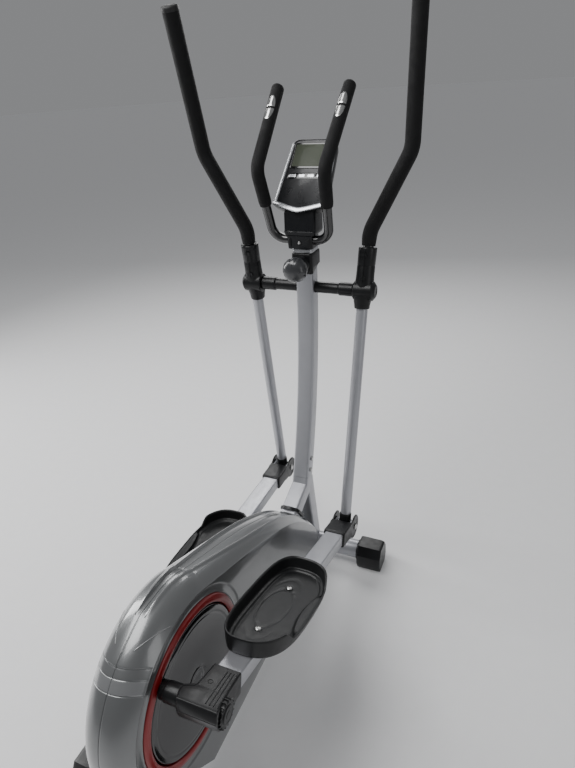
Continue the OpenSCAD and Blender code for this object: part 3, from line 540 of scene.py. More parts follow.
ring_profile = rounded([(48.6, 160.6), (56.0, 160.6), (59.4, 163.5), (60, 168), (58.6, 176), (55.8, 180.6),
                        (48.6, 180.6)], 3, 5)
disc_profile = rounded([(49.2, 0.01), (49.2, 60), (51, 158), (55.5, 158), (57.4, 155.5), (58.6, 146), (58.0, 142),
                        (58.6, 138), (59.5, 60), (59.4, 34), (57, 31.5), (57, 0.01)], 2.0, 4)
cap_profile = rounded([(50.5, 0.01), (50.5, 5.5), (57.2, 5.5), (57.2, 28), (58.6, 27.3), (59.4, 21), (58.8, 19),
                       (59.6, 16), (60, 8), (60, 0.01)], 1.0, 4)
CRANK = PLACE @ T(0, CRANK_Y, CRANK_Z)


def ringed(profile, n=160):
    rings = [[(x, r * math.cos(2 * math.pi * k / n), r * math.sin(2 * math.pi * k / n)) for k in range(n)]
             for x, r in profile]
    v, f = loft(rings, caps=False)
    m = len(profile)
    return v, f + [((m - 1) * n + k, (m - 1) * n + (k + 1) % n, (k + 1) % n, k) for k in range(n)]


emit("red_ring", joined(ringed(ring_profile), moved(ringed(ring_profile), FLIP)), CRANK,
     "side_rings", "red", sharp=60)
emit("crank_disc_faces", joined(lathe(disc_profile, 160), moved(lathe(disc_profile, 160), FLIP)), CRANK,
     "crank_discs", "gloss", sharp=60)
emit("hub_cap_faces", joined(lathe(cap_profile, 64), moved(lathe(cap_profile, 64), FLIP)), CRANK,
     "hub_caps", "gloss", sharp=60)

# ---- frame ----
mast_a = math.asin((1020.0 - 354.0) / 2000.0)
mast_y = -2000.0 * (1 - math.cos(mast_a))
beam_break, beam_top = (-800.0, 76.0), (mast_y - 6, 354.0 - 28)


def rod_bar(path, w, d, r):
    """rounded rectangular tube along a path in the YZ plane; w across x, d across the path."""
    rings = []
    for i, q in enumerate(path):
        a, b = path[max(i - 1, 0)], path[min(i + 1, len(path) - 1)]
        t = np.array(b, float) - np.array(a, float)
        t /= np.linalg.norm(t)
        nrm = (-t[1], t[0])
        rings.append([(x, q[0] + nrm[0] * h, q[1] + nrm[1] * h) for x, h in rrect(-w / 2, w / 2, -d / 2, d / 2, r)])
    return loft(rings)


main = joined(
    rod_bar([beam_break, (beam_top[0] - 2, beam_top[1] - 1)], 50, 50, 6),
    rod_bar([(-68, 66), (mast_y + 4, 340)], 48.5, 48, 6),
    rod_bar([(REAR_Y - 20, 76), (beam_break[0] + 8, 76)], 50, 48, 6),
    moved(rod_bar([(-30, 0), (0, 0)], 49.6, 48, 6), T(0, mast_y, 354) @ R(90 - math.degrees(mast_a), "X")))
emit("welded_frame", main, PLACE, "main_frame", "silver", sharp=35)
# fillet weld where the flat beam meets the sloping one, and under the stub
bead = joined(
    sweep([(x, beam_break[0] + 3, 101.5) for x in np.linspace(-23, 23, 12)], 3.0, 16),
    sweep([(x, mast_y - 31, 293) for x in np.linspace(-21, 21, 12)], 3.0, 16))
emit("weld_beads", bead, PLACE, "main_frame", "silver", stands=False, sharp=0)
arc = [(-2000.0 * (1 - math.cos(mast_a * (1 - i / 48))), 1020.0 - 2000.0 * math.sin(mast_a * (1 - i / 48)))
       for i in range(49)]
arc[0] = (arc[0][0], arc[0][1] + 0.6)
emit("mast_tube", rod_bar(arc + [(0, 1040), (0, 1056)], 50, 48, 7), PLACE, "mast", "silver", sharp=35)
band = [[(x, y, z) for x, y in rrect(-28 - e, 28 + e, -30 - e, 28 + e, 6)]
        for z, e in ((1043.6, -1.5), (1044.4, 0), (1056, 0), (1057.2, -1.5))]
emit("mast_band", loft(band), PLACE, "mast", "silver_plastic", stands=False, sharp=60)


def bolt_head(x, r, h, out=1):
    return rounded([(x, 0.01), (x, r), (x + out * h * 0.55, r), (x + out * h, r * 0.62), (x + out * h, 0.01)],
                   h * 0.3, 3)


heads = []
for by, bz in ((6, 24), (18, 58)):
    for sg in (1, -1):
        head = lathe(bolt_head(25.1, 7, 4.8), 32)
        heads.append(moved(moved(head, FLIP if sg < 0 else ONE), T(0, mast_y + by, 354 + bz)))
emit("mast_bolt_heads", joined(*heads), PLACE, "mast_bolts", "steel", sharp=35)

tube_profile = rounded([(-185, 0.01), (-185, 30), (185, 30), (185, 0.01)], 1, 2)
for node, y in (("front_stabiliser", FRONT_Y), ("rear_stabiliser", REAR_Y)):
    emit(node + "_tube", lathe(tube_profile, 64), PLACE @ T(0, y, STAB_Z), node, "silver", sharp=40)


def end_cap(y):
    poly = [(-33, 0), (33, 0), (43, 22), (43, 58), (25, 86), (-25, 86), (-43, 58), (-43, 22)]
    out = []
    for sg in (0, 1):
        rings = []
        for x, k in ((171, 0.955), (173, 0.975), (178, 1.0), (240, 1.0), (248, 0.955), (250, 0.93)):
            rings.append([(x, y + py * k, pz * k + 43 * (1 - k) * (1 if pz > 0 else 0)) for py, pz in poly])
        body = loft(rings)
        lip = lathe(rounded([(165.5, 30.3), (165.5, 33.5), (171.5, 34), (171.5, 30.3)], 1.2, 3), 48)
        lip = moved(lip, T(0, y, STAB_Z))
        out += [moved(body, flip(sg)), moved(lip, flip(sg))]
    return joined(*out)


emit("front_feet", end_cap(FRONT_Y), PLACE, "front_caps", "plastic", bevel=3.0, segs=4)
emit("rear_feet", end_cap(REAR_Y), PLACE, "rear_caps", "plastic", bevel=3.0, segs=4)
wheel = rounded([(-11, 4), (-11, 8), (-8, 12), (-9.5, 17), (-8, 20), (8, 20), (9.5, 17), (8, 12), (11, 8), (11, 4)],
                1.5, 3)
for s, x in (("left", -212), ("right", 212)):
    emit("transport_wheel_" + s, ringed(wheel, 64), PLACE @ T(x, FRONT_Y + 31, 30), "wheel_" + s, "rubber",
         sharp=50)

# collar on the nose
arch = [(31, -34), (31, 14)] + [(31 * math.cos(math.radians(a)), 14 + 24 * math.sin(math.radians(a)))
                               for a in range(10, 171, 10)] + [(-31, 14), (-31, -34)]
COLLAR = PLACE @ T(0, -211.6, 294.1) @ R(125.6, "X")
dome = [[(x * k, y * k, h) for x, y in arch] for h, k in ((9.0, 1.0), (1.6, 1.0), (0.0, 0.95))]
emit("collar", loft(dome), COLLAR, "nose_collar", "plastic", sharp=40)

# ---- axle, sleeves, swing arms ----
AX = PLACE @ T(0, 0, AXLE_Z)
emit("axle_rod", lathe(rounded([(-190, 0.01), (-190, 12.7), (190, 12.7), (190, 0.01)], 1, 2), 48), AX, "swing_axle",
     "steel")
sleeve = rounded([(25.4, 13), (25.4, 16), (94, 16), (96, 17.5), (98, 19), (136.5, 19), (138, 17), (138, 13)], 1.2,
                 4)
emit("sleeve_pair", joined(ringed(sleeve, 56), moved(ringed(sleeve, 56), FLIP)), AX, "axle_sleeves", "plastic",
     sharp=60)

arm_path = [(ARM_X + 2, 0.6, 28), (ARM_X + 6, 4, 158), (ARM_X + 102, 0, 363), (ARM_X + 101, -43, 692)]
arm_route = route(arm_path, 90, 16)
unit0 = (np.array(arm_path[1]) - np.array(arm_path[0]))
unit0 = unit0 / np.linalg.norm(unit0)
grip_route = dense(route([np.array(arm_path[0]) + unit0 * 92] + arm_path[1:], 90, 16), 12)


def grip_radius(total):
    def f(s):
        r = 20.0 - 1.6 * math.exp(-(s / 2.2) ** 2)
        return r + 0.35 * math.exp(-((s - total) / 60) ** 2)
    return f


for k, s in enumerate(SIDES):
    A = arm_frame(k)
    foot = np.array((RAIL_X, 0, -ARM_LEN + 8.0))
    top = np.array((ARM_X, 0, -16.0))
    total = float(np.linalg.norm(top - foot))
    tube = sweep(dense([foot, top], 6), lambda t: 16 + 1.2 * math.exp(-(t / 5.0) ** 2), 48)
    boss = moved(lathe(rounded([(-21, 0.01), (-21, 15), (21, 15), (21, 0.01)], 1.2, 3), 48), T(RAIL_X, 0, -ARM_LEN))
    emit("arm_tube_" + s, joined(tube, boss), A, "swing_tube_" + s, "silver", sharp=45)
    boot = lathe(rounded([(-18.5, 0.01), (-18.5, 17.6), (18.5, 17.6), (18.5, 0.01)], 2, 4), 48)
    axis = (top - foot) / total
    # the cup's mouth steps in; sweep measures from the path's start, so 37.3 here is 31.3 along the axis
    cup = sweep([foot + axis * d for d in (-6, 4, 14, 24, 30, 31.5, 32)],
                lambda d: 17.7 - (1.2 if d > 37.3 else 0), 48)
    emit("foot_boot_" + s, joined(moved(boot, T(RAIL_X, 0, -ARM_LEN)), cup), A, "swing_tube_" + s, "plastic",
         stands=False, sharp=45)
    # moulded cover round the pivot
    cuff = [(-49, 18.5), (-49, 20.6), (-46.5, 21.6), (-40, 22.0), (-30, 24.0), (-18, 26), (0, 26.8), (20, 26),
            (42, 24.8),
            (66, 24.6), (68, 23.9), (70, 24.7), (110, 25), (113.5, 25.2), (116, 24.2), (117, 21), (116, 19.6)]
    rings = []
    for h, r in cuff:
        cx = ARM_X + (3.2 * (h / 110) if h > 0 else -2 * min(1, -h / 30)) + 0.5
        cy = 0.6 + 2.2 * max(0, h) / 110
        rings.append([(cx + r * math.cos(2 * math.pi * i / 72), cy + r * math.sin(2 * math.pi * i / 72)
                       * (1 - 0.02 * (h > 0)), h) for i in range(72)])
    barrel = lathe(rounded([(139, 15.0), (139, 25.4), (142, 27), (165, 27.4), (190, 27), (193, 26.2), (196, 22),
                            (200, 17),
                            (200.4, 13), (199, 8), (199, 0.01)], 1.2, 4), 72)
    rib = sweep([(x, -26.6, z) for x, z in zip(np.linspace(ARM_X + 0.5, ARM_X + 3.2, 14),
                                               np.linspace(24, 108, 14))], 1.1, 10)
    lugs = [prism(rrect(ARM_X - 7, ARM_X + 9, z, z + 9, 2.5), 25.2, 27.6, lambda x, y, h: (x, -h + 1.5, y))
            for z in (30, 92)]
    emit("pivot_cover_" + s, joined(loft(rings), barrel, rib, *lugs), A, "swing_cover_" + s, "plastic", sharp=50)
    emit("handle_tube_" + s, sweep(arm_route, 15, 40), A, "swing_handle_" + s, "black_paint", sharp=50)
    ln = float(sum(np.linalg.norm(b - a) for a, b in zip(grip_route, grip_route[1:])))
    emit("grip_foam_" + s, sweep(grip_route, grip_radius(ln), 48, ((1.0, 2.0),)), A, "swing_grip_" + s, "foam",
         sharp=50)
    tip, w = np.array(grip_route[-1]), np.array(grip_route[-1]) - np.array(grip_route[-2])
    w = w / np.linalg.norm(w)
    plug = [(tip + w * d).tolist() for d in (-3.0, -2.4, 1.0, 5.0, 8.0, 9.7, 10.4, 10.6)]
    size = [19.0, 20.6, 21.0, 21.0, 20.2, 17.8, 13.0, 0.02]
    pr = sweep(plug, 1.0, 48)
    vv = np.array(pr[0]).reshape(len(plug), 48, 3)
    cen = np.array(plug)[:, None, :]
    vv = cen + (vv - cen) * np.array(size)[:, None, None]
    emit("grip_plug_" + s, (vv.reshape(-1, 3).tolist(), pr[1]), A, "swing_grip_" + s, "rubber", stands=False,
         sharp=50)

# ---- fixed handlebar ----
bar_low, bar_bend, bar_tip = (80, -26, 1080), (91, -82, 1270), (99, 97, 1440)
neg = lambda p: (-p[0], p[1], p[2])
bar_route = route([neg(bar_tip), neg(bar_bend), neg(bar_low), bar_low, bar_bend, bar_tip], 38, 14)
emit("bar_tube", sweep(bar_route, 12.5, 40), PLACE, "handlebar", "black_paint", sharp=50)
low = np.array(bar_low, float) - np.array(bar_bend, float)
grip_from = np.array(bar_bend, float) + low / np.linalg.norm(low) * 98
foam_route = dense(route([grip_from, bar_bend, bar_tip], 38, 14), 10)
foam = sweep(foam_route, lambda t: 17.0 - 1.3 * math.exp(-(t / 2.0) ** 2), 44,
             ((1.0, 2.0), (0.975, 5.0), (0.9, 8.0), (0.72, 10.2), (0.4, 11.6), (0.01, 12.0)))
emit("bar_foam", joined(foam, moved(foam, FLIP)), PLACE, "handlebar_grips", "foam", sharp=60)
bw = np.array(bar_tip, float) - np.array(bar_bend, float)
bl = np.linalg.norm(bw)
bw /= bl
bn = np.cross([1.0, 0, 0], bw)
bn /= np.linalg.norm(bn)
be = np.cross(bw, bn)
sc = np.array(bar_bend, float) + (np.array(bar_tip, float) - np.array(bar_bend, float)) * 0.72
plates = []
for sgn in (1, -1):
    rows = []
    for i in range(17):
        t = i / 16
        along = sgn * (2.8 + 35 * t)
        wide = 12.5 * math.sqrt(max(0.0, 1 - (t * 0.985) ** 2.2))
        row = []
        for j in range(17):
            v = -1 + j / 8
            ang = math.asin(max(-1, min(1, v * wide / 17.5)))
            edge = max(abs(v) ** 6, (1 - min(1, t / 0.08)) ** 2 if t < 0.08 else 0, (max(0, t - 0.9) / 0.1) ** 2)
            r = 18.1 - 1.3 * edge
            row.append(tuple(sc + bw * along + be * r * math.sin(ang) + bn * r * math.cos(ang)))
        rows.append(row)
    v = [p for row in rows for p in row]
    plates.append((v, [(a * 17 + b, a * 17 + b + 1, (a + 1) * 17 + b + 1, (a + 1) * 17 + b)
                       for a in range(16) for b in range(16)]))
plates = joined(*plates)
emit("pulse_plates", joined(plates, moved(plates, FLIP)), PLACE, "pulse_sensors", "chrome", sharp=60)

# ---- mast top ----
block = []
for z, hx, y0, y1, r in ((1057.4, 33, -41, 10, 6), (1058.6, 35, -43, 11, 7), (1090, 36.5, -44.5, 13, 7),
                         (1094, 37, -44.5, 14, 7)):
    block.append([(x, y, z) for x, y in rrect(-hx, hx, y0, y1, r)])
upper = []
for z, hx, y0, y1, r in ((1093, 40, -42, 22, 8), (1095.5, 43, -44, 25, 8), (1104, 45, -44.5, 26, 8),
                         (1106, 44.6, -42, 26, 8),
                         (1150, 45, -38, 26, 8), (1166, 44, -30, 26, 8)):
    upper.append([(x, y, z) for x, y in rrect(-hx, hx, y0, y1, r)])
emit("clamp_block", joined(loft(block), loft(upper)), PLACE, "handlebar_clamp", "face", sharp=35)
hooks = []
for sx in (1, -1):
    hooks.append(prism(rrect(sx * 27 - 3.5, sx * 27 + 3.5, 1064, 1088, 3), 42, 46.2, lambda x, y, h: (x, -h, y)))
hooks.append(prism(disc((0, 1076), 6.5, 36), 42, 45.6, lambda x, y, h: (x, -h, y)))
emit("clamp_lugs", joined(*hooks), PLACE, "handlebar_clamp", "plastic", stands=False, bevel=0.8, segs=3)
pin_head = moved(lathe(bolt_head(0, 4.2, 1.6), 6, "Y"), T(0, -45.4, 1076) @ R(180, "Z"))
emit("clamp_screw", pin_head, PLACE, "handlebar_clamp", "steel", stands=False, sharp=30)
shroud = []
for z, hx, y0, y1 in ((994, 29, -31, 28), (995, 29.8, -34, 31), (1004, 30, -35.5, 33), (1036, 30, -35.5, 33.5),
                      (1042, 29.6, -34.5, 33),
                      (1043.5, 28.4, -33, 31)):
    shroud.append([(x, y, z - (8 * smooth(0, -34, y) if z < 1000 else 0)
                    + (14 * smooth(0, 34, y) if z < 1000 else 0))
                   for x, y in rrect(-hx, hx, y0, y1, 7)])
neck = lathe(rounded([(-30, 25), (-44, 24), (-56, 22), (-64.8, 21.5), (-65.6, 19), (-65.6, 0.01)], 1.5, 4), 56, "Y")
emit("shroud", joined(loft(shroud), moved(neck, T(0, 0, 1013))), PLACE, "mast_shroud", "plastic", sharp=40)
KNOB_N, KNOB_LOBES, KNOB_DEPTH = 96, 12, 1.3
rings = []
for d, r, lob in ((0.0, 22, 0), (0.4, 26, 0.1), (2.5, 29.8, 0.4), (7, 32.6, 0.8), (14, 33.8, 1), (21, 33.6, 1),
                  (28, 31.4, 0.8),
                  (33.5, 28, 0.5), (38, 23, 0.2), (41, 16.5, 0), (42.7, 9.5, 0), (43.4, 4, 0), (43.5, 0.02, 0)):
    row = []
    for i in range(KNOB_N):
        dip = 0.5 - 0.5 * math.cos(KNOB_LOBES * 2 * math.pi * i / KNOB_N)
        at = r - KNOB_DEPTH * lob * dip ** 3
        row.append((at * math.cos(2 * math.pi * i / KNOB_N), -d, at * math.sin(2 * math.pi * i / KNOB_N)))
    rings.append(row)
pointer = prism(rrect(-1.5, 1.5, 11, 23, 1.4), 0, 1.0, lambda x, y, h: (x, -41.8 - h + (y - 11) * 0.3, y))
emit("knob", joined(loft(rings), pointer), PLACE @ T(0, -66, 1013), "tension_knob", "knob", sharp=60)

# ---- console ----
CON = PLACE @ T(0, -34, 1174) @ R(45, "X")
CL = 202.0


def face(e=0.0, n=6):
    pts = [(0, -20 - e), (75 + e * 0.9, -e * 0.6), (65 + e, CL - 14 + e), (51 + e * 0.5, CL + e),
           (-51 - e * 0.5, CL + e), (-65 - e, CL - 14 + e), (-75 - e * 0.9, -e * 0.6)]
    p = [np.array(q, float) for q in pts]
    out = []
    for i, b in enumerate(p):
        a, c = p[i - 1], p[(i + 1) % len(p)]
        la, lc = np.linalg.norm(a - b), np.linalg.norm(c - b)
        t = min((30 if i == 0 else 6), la * 0.45, lc * 0.45)
        s, f = b + (a - b) / la * t, b + (c - b) / lc * t
        out += [tuple(s * (1 - u) ** 2 + 2 * b * u * (1 - u) + f * u * u) for u in np.linspace(0, 1, n)]
    return out


case = loft([[(x, y, z) for x, y in face(e)] for z, e in
             ((-45, -16), (-44.4, -13), (-38, -7.5), (-26, -3), (-14, -0.8), (-5.5, 0), (-4.2, -0.8))])
emit("case", case, CON, "console_back", "plastic", sharp=40)
fp = loft([[(x, y, z) for x, y in face(e)] for z, e in ((-4.0, -0.6), (-3.4, 0), (-0.6, 0), (0.1, -0.8), (0.2, -7),
                                                        (-0.6, -8.5))])
emit("fascia", fp, CON, "console_face", "face", sharp=40)
# silver side strips and the chevron lip
strips = []
for sx in (1, -1):
    a, b = np.array((71.5, 6.0)), np.array((62.5, CL - 14))
    pts = [a + (b - a) * i / 20 for i in range(21)]
    rings = []
    for q in pts:
        rings.append([(sx * (q[0] + dx), q[1], dz)
                      for dx, dz in ((-6.4, -0.5), (-6.0, 1.2), (-4.2, 2.4), (0.4, 2.4), (2.2, 1.3), (2.5, -0.5))])
    strips.append(loft(rings))
chev = []
for i in range(41):
    x = -74 + 148 * i / 40
    yc = -20 + 20 * (math.sqrt((x / 75) ** 2 + 0.03) - math.sqrt(0.03)) / (math.sqrt(1.03) - math.sqrt(0.03))
    hw = 6.4
    chev.append([(x, yc + 5.5 + dy, dz) for dy, dz in ((-hw - 0.8, -0.5), (-hw - 0.4, 1.4), (-hw + 1.6, 2.4),
                                                       (hw - 1.6, 2.4), (hw - 0.2, 1.2), (hw, -0.5))])
strips.append(loft(chev))
emit("trim_strips", joined(*strips), CON, "console_trim", "silver_plastic", sharp=50)
bezel = loft([[(x, y, z) for x, y in rrect(-54 - e, 54 + e, 111 - e, 190 + e, 5)]
              for z, e in ((-0.5, 0), (0.7, 0), (1.1, -0.8), (0.9, -2.2))])
emit("display_surround", bezel, CON, "console_face", "gloss", stands=False, sharp=40)
emit("display", loft([[(x, y, z) for x, y in rrect(-50 - e, 50 + e, 116 - e, 185 + e, 2.5)] for z, e in
                      ((-0.4, 0), (1.2, 0), (1.35, -0.6))]), CON, "console_lens", "lcd", sharp=50)
emit("key_panel", loft([[(x, y, z) for x, y in rrect(-53 - e, 53 + e, 79 - e, 96 + e, 4)] for z, e in
                        ((-0.5, 0), (0.3, 0), (0.6, -0.8))]), CON, "console_face", "gloss", stands=False, sharp=40)
for i, x in enumerate((-39, -13, 13, 39)):
    key = loft([[(x + px, 87 + py, z) for px, py in rrect(-10 - e, 10 + e, -5 - e, 5 + e, 3)] for z, e in
                ((-2.9, 0), (0.9, 0), (1.5, -0.5), (1.8, -1.4), (1.7, -3))])
    emit("key_%d" % (i + 1), key, CON, "button_%d" % (i + 1), "silver_plastic", sharp=60)

# ---- foot rails ----
PED_MID, PED_L, PED_IN, PED_OUT = -527.0, 355.0, 63.0, 92.0
LEDGE = (305.0, -533.0, 238.0)


def tread(e, n=200):
    out = []
    for i in range(n):
        a = 2 * math.pi * i / n
        c, s = math.cos(a), math.sin(a)
        out.append((-(PED_IN - e) * (-c) ** 0.6 if c < 0 else (PED_OUT - e) * c ** 0.78,
                    PED_MID + (PED_L / 2 - e) * math.copysign(abs(s) ** 0.62, s)))
    return out


def rim(x, y):
    return 60 - 22.5 * smooth(14, 40, x) * smooth(126, 96, abs(y - PED_MID))


def well(e):
    """inner edge of the foot well: the tread's outline, cut back by the outer ledge's arc."""
    out = []
    for x, y in tread(e):
        d = (LEDGE[2] + e - 6) ** 2 - (y - LEDGE[1]) ** 2
        lim = LEDGE[0] - math.sqrt(d) if d > 0 else 999
        out.append((min(x, lim), y, smooth(0.5, 9, x - lim)))
    return out


def floor_h(x, y):
    q = math.hypot(x / 33.0, (y - PED_MID) / 78.0)
    h = 25.0 - 1.3 * math.exp(-((q - 1) * 33 / 1.2) ** 2)
    q = math.hypot(x / 44.0, (y - PED_MID) / 122.0)
    h -= 0.9 * math.exp(-((q - 1) * 44 / 1.2) ** 2) * smooth(-70, -100, -abs(y - PED_MID))
    for sy in (443, 615):
        h -= 0.9 * smooth(12, 9.5, math.hypot(x, y + sy))
    return h


def pedal():
    prof = [(10, 18.4, 0), (6.5, 18.4, 0), (5.2, 19.4, 0), (4.4, 24, 0), (2.2, 0.45, 1), (0.6, 0.85, 1),
            (0.0, 0.955, 1),
            (0.5, 0.988, 1), (1.7, 1.0, 1), (3.2, 0.99, 1), (4.2, 0.955, 1)]
    rings = []
    for e, h, kind in prof:
        rings.append([(x, y, h if kind == 0 else 18.4 + (rim(x, y) - 18.4) * h) for x, y in tread(e)])
    edge = tread(5.0)
    for t, inset, plain, shelf in ((0.0, 6, -2.6, 0), (0.3, 6, -4.5, 0), (0.65, 6, -6.5, 0), (0.9, 6, -9, 0),
                                   (1.0, 6, 33.0, 36.4),
                                   (1.0, 6.6, 31, 35.6), (1.0, 7.6, 29.4, 31.5), (1.0, 9, 28.9, 27.2),
                                   (1.0, 13, 28.6, 25.7),
                                   (1.0, 14.2, 28.0, 25.2), (1.0, 15.4, 25.9, 25.1), (1.0, 17, 25.1, 25.1)):
        ring = []
        for (ex, ey), (wx, wy, crescent) in zip(edge, well(inset)):
            top = rim(ex, ey)
            x, y = ex + (wx - ex) * t, ey + (wy - ey) * t
            normal_h = top + plain if plain < 0 else min(plain, top - 3)
            ledge_h = 36.6 if t < 1 else shelf
            if t == 0:
                ledge_h = top - 1.3
            ring.append((x, y, normal_h + (ledge_h - normal_h) * crescent))
        rings.append(ring)
    last = [(x, y) for x, y, _ in well(17)]
    for k in [1 - 0.035 * i for i in range(1, 28)] + [0.02]:
        rings.append([(2 + (x - 2) * k, PED_MID + (y - PED_MID) * k,
                       floor_h(2 + (x - 2) * k, PED_MID + (y - PED_MID) * k)) for x, y in last])
    return loft(rings)


def screw(r=7.5):
    return lathe(rounded([(24.6, 0.01), (24.6, r), (25.8, r), (27.6, r * 0.75), (28.1, r * 0.42), (28.1, 3.2),
                          (26.6, 2.9), (26.6, 0.01)], 0.5, 3), 40, "Z")


def cover_sections():
    """rear cover: flat-topped, widens over the crank pin."""
    rings = []
    for sdist, x0, x1, h0, h1, r in ((748, -28.6, 28.6, -21, 22.5, 3), (749.2, -30, 30, -24, 24.6, 4),
                                     (760, -30.3, 30.5, -24, 25.2, 4),
                                     (780, -30.6, 32, -24.5, 25.8, 4), (800, -31, 33.5, -28.5, 26.4, 4),
                                     (813, -31.6, 34.8, -29, 26.8, 4),
                                     (818, -42, 35.2, -29, 26.9, 4), (824, -51.4, 35.8, -29, 27, 4),
                                     (834, -52, 36.8, -29, 27.2, 4),
                                     (843, -51, 38, -28, 27.3, 4), (852, -47.4, 39.4, -16, 27.3, 4),
                                     (858, -45, 40.4, -5, 27.0, 4),
                                     (861.4, -43.6, 40.6, 3, 26.2, 4), (862.5, -42, 39.4, 5, 24.4, 3)):
        rings.append([(x, -sdist, h) for x, h in rrect(x0, x1, h0, h1, r)])
    return loft(rings)


PEDAL = pedal()
for k, s in enumerate(SIDES):
    F = rail_frame(k)
    rings = [[(x, -q, h) for x, h in rrect(-27, 27, -18, 18, 4.5)] for q in (52, 60, 200, 400, 600, 792)]
    ears = []
    for c in (-24.4, 24.4):
        outl = [(-54, -18), (0, -18)] + [(18 * math.cos(math.radians(a)), 18 * math.sin(math.radians(a)))
                                         for a in range(-80, 81, 10)] + [(0, 18), (-54, 18)]
        ears.append(prism(outl, c - 2.5, c + 2.5, lambda y, z, h: (h, y, z)))
    spindle = moved(lathe([(-58, 0.01), (-58, 19), (26, 19), (26, 0.01)], 48), T(0, -RAIL_LEN, 0))
    emit("foot_rail_" + s, joined(loft(rings), spindle, *ears), F, "rail_" + s, "silver", sharp=35)
    # front cover: a box on the rail with round cheeks at the pivot
    box = loft([[(x, -q, h) for x, h in rrect(-hx, hx, -hz, hz + 0.5, 4.5)] for q, hx, hz in
                ((30, 32.3, 22.3), (50, 32.5, 22.5), (100, 32.3, 22.3), (106, 31.8, 21.8), (108, 30, 20))])
    cheeks = []
    for c in (1, -1):
        ck = lathe(rounded([(27.5, 20), (27.5, 35), (29, 36), (31.2, 36), (32.6, 34), (32.6, 25), (31.4, 22.5),
                            (31.4, 12), (32.4, 10.5), (32.4, 0.01)], 0.8, 4), 72)
        cheeks.append(moved(ck, flip(c < 0)))
        cheeks.append(prism(rrect(-50, 0, -22.5, 23, 3), 27.5, 32.4, lambda y, z, h, c=c: (c * h, y, z)))
    emit("front_joint_" + s, joined(box, *cheeks), F, "front_cover_" + s, "plastic", sharp=45)
    pin = []
    for c in (1, -1):
        pin.append(moved(lathe(bolt_head(32.4, 9.5, 5.4), 6 if c > 0 else 40), flip(c < 0)))
    tail = moved(lathe(rounded([(sx, r) for sx, r in ((-95, 0.01), (-95, 10), (26, 10), (26, 0.01))], 0.5, 2), 32),
                 T(0, -RAIL_LEN, 0))
    emit("pivot_hardware_" + s, joined(*pin, tail), F, "pivot_bolts_" + s, "steel", sharp=30)
    # rear cover with its sleeve, ribs and outer cap
    sleeve_r = moved(ringed(rounded([(-95, 10.6), (-95, 17.2), (-94, 18.4), (-84, 18.5), (-82.6, 20.4), (-49, 20.6),
                                     (-49, 10.6)], 0.9, 3), 56), T(0, -RAIL_LEN, 0))
    cap_r = moved(lathe(rounded([(33, 25), (42, 24.6), (43.5, 22.5), (43.5, 19), (45.4, 18.2), (46, 16), (45.2, 14),
                                 (45.2, 8.5), (46, 7.5), (46, 0.01)], 0.7, 3), 72), T(0, -RAIL_LEN, 0))
    cuts = [moved(prism(rrect(-3, 3, -1.6, 1.6, 0.8, 3), 34.5, 43.2, lambda y, z, h: (h, y, z)),
                  T(0, -RAIL_LEN, 0) @ R(a, "X") @ T(0, 24.4, 0)) for a in range(0, 360, 20)]
    ribs = []
    for rx in range(4):
        p = [(5.5 + 7 * rx + (5 + 1.2 * rx) * (q - 760) / 96, -q, 25.4 + (q - 760) * 0.021)
             for q in np.linspace(760, 850, 14)]
        ribs.append(sweep(p, 1.15, 10))
    ribs.append(sweep([(-27.6, -q, 25.3 + (q - 760) * 0.021) for q in np.linspace(758, 812, 8)] +
                      [(-31.5, -819, 26.6), (-41, -824, 26.8), (-48.5, -829, 26.9)], 1.3, 10))
    lip_r = [sweep([(x, -859.4, 26.4) for x in np.linspace(-43, 39, 16)], 2.0, 12),
             sweep([(x, -859.8, 1.4) for x in np.linspace(-42, 39, 16)], 1.6, 10)]
    emit("rear_joint_" + s, joined(cover_sections(), sleeve_r, cap_r, *lip_r, *ribs, *cuts), F, "rear_cover_" + s,
         "plastic", sharp=42)
    # dark puck in the screw hole of the rear cover, blacker than the cover: painted shade in the hole
    dot = moved(lathe([(24.0, 0.01), (24.0, 5.4), (27.3, 5.4), (27.3, 4.2), (26.2, 4.0), (26.2, 0.01)], 28, "Z"),
                T(-10, -797, -0.4))
    emit("cover_screw_" + s, dot, F, "rear_cover_" + s, "dark", stands=False, sharp=40)
    emit("pedal_tub_" + s, PEDAL, F, "pedal_" + s, "tread", sharp=55)
    emit("pedal_fixings_" + s, joined(*[moved(screw(), T(0, -q, 0)) for q in (443, 615)]), F, "pedal_screws_" + s,
         "steel", sharp=40)

# ---- camera, light, floor ----
cam = bpy.data.objects.new("camera", bpy.data.cameras.new("camera"))
bpy.context.scene.collection.objects.link(cam)
yaw, pitch, roll = math.radians(24.89), math.radians(-28.28), math.radians(-3.96)
fwd = Vector((-math.sin(yaw) * math.cos(pitch), math.cos(yaw) * math.cos(pitch), math.sin(pitch)))
right = Vector((math.cos(yaw), math.sin(yaw), 0))
up = right.cross(fwd)
r2 = right * math.cos(roll) + up * math.sin(roll)
u2 = -right * math.sin(roll) + up * math.cos(roll)
cam.matrix_world = Matrix.Translation((0.607, -1.0116, 1.4927)) @ Matrix((r2, u2, -fwd)).transposed().to_4x4()
cam.data.sensor_width = 36.0
cam.data.lens = 27.583
cam.data.clip_start, cam.data.clip_end = 0.01, 60
bpy.context.scene.camera = cam


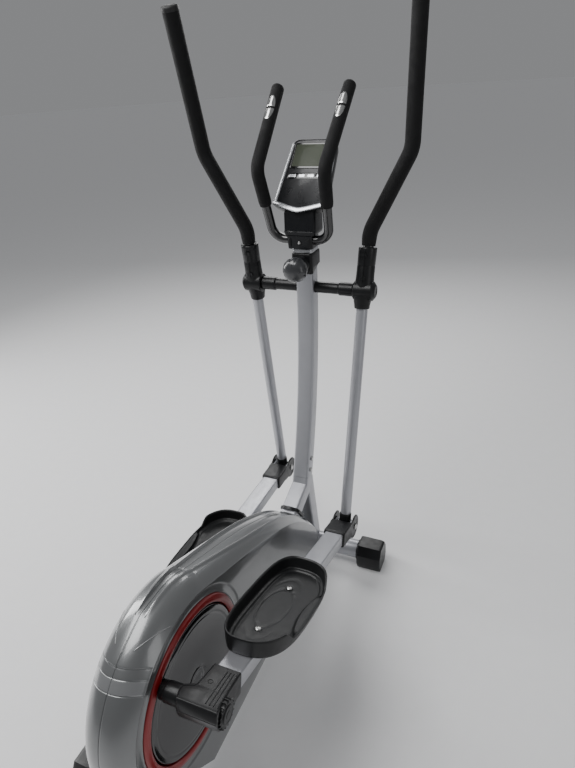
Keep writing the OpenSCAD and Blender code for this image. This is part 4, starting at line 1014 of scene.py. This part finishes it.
def light(name, loc, aim, size, power, color=(1, 1, 1)):
    d = bpy.data.lights.new(name, "AREA")
    d.shape, d.size, d.size_y, d.energy, d.color = "RECTANGLE", size[0], size[1], power, color
    o = bpy.data.objects.new(name, d)
    o.location = loc
    o.rotation_euler = (Vector(aim) - Vector(loc)).to_track_quat("-Z", "Y").to_euler()
    bpy.context.scene.collection.objects.link(o)


light("top_softbox", (-0.9, -0.6, 3.2), (0, -0.2, 0.5), (2.2, 1.6), 75)
light("left_strip", (-2.6, 0.4, 1.9), (0, -0.2, 0.7), (0.6, 2.4), 48)
light("right_fill", (2.9, -0.6, 1.5), (0, 0, 0.7), (1.0, 2.0), 9)
light("back_edge", (-0.7, 2.7, 2.2), (0, 0, 0.8), (2.4, 1.0), 40)

SKY = (0.80, 0.81, 0.83, 1)
world = bpy.data.worlds.new("studio")
world.use_nodes = True
world.node_tree.nodes["Background"].inputs["Color"].default_value = SKY
world.node_tree.nodes["Background"].inputs["Strength"].default_value = 0.3
bpy.context.scene.world = world

# a flat round floor in metres, a hair under the feet so that the two don't share a plane
FLOOR_RINGS, FLOOR_Z = (1.5, 3.0, 6.0, 12.0, 24.0, 40.0), -0.0002
v = [(r * math.cos(math.pi * k / 32), r * math.sin(math.pi * k / 32), FLOOR_Z)
     for r in FLOOR_RINGS for k in range(64)] + [(0, 0, FLOOR_Z)]
f = [(64 * i + k, 64 * i + (k + 1) % 64, 64 * i + 64 + (k + 1) % 64, 64 * i + 64 + k)
     for i in range(len(FLOOR_RINGS) - 1) for k in range(64)]
f += [(len(v) - 1, k, (k + 1) % 64) for k in range(64)]
me = bpy.data.meshes.new("studio_floor")
me.from_pydata(v, [], f)
floor = bpy.data.objects.new("studio_floor", me)
bpy.context.scene.collection.objects.link(floor)
me.materials.append(material("floor_paper", (0.74, 0.74, 0.745), 0.75, mottle=0.01))
glow = me.materials[0].node_tree.nodes["Principled BSDF"].inputs
glow["Emission Color"].default_value = SKY
glow["Emission Strength"].default_value = 0.078
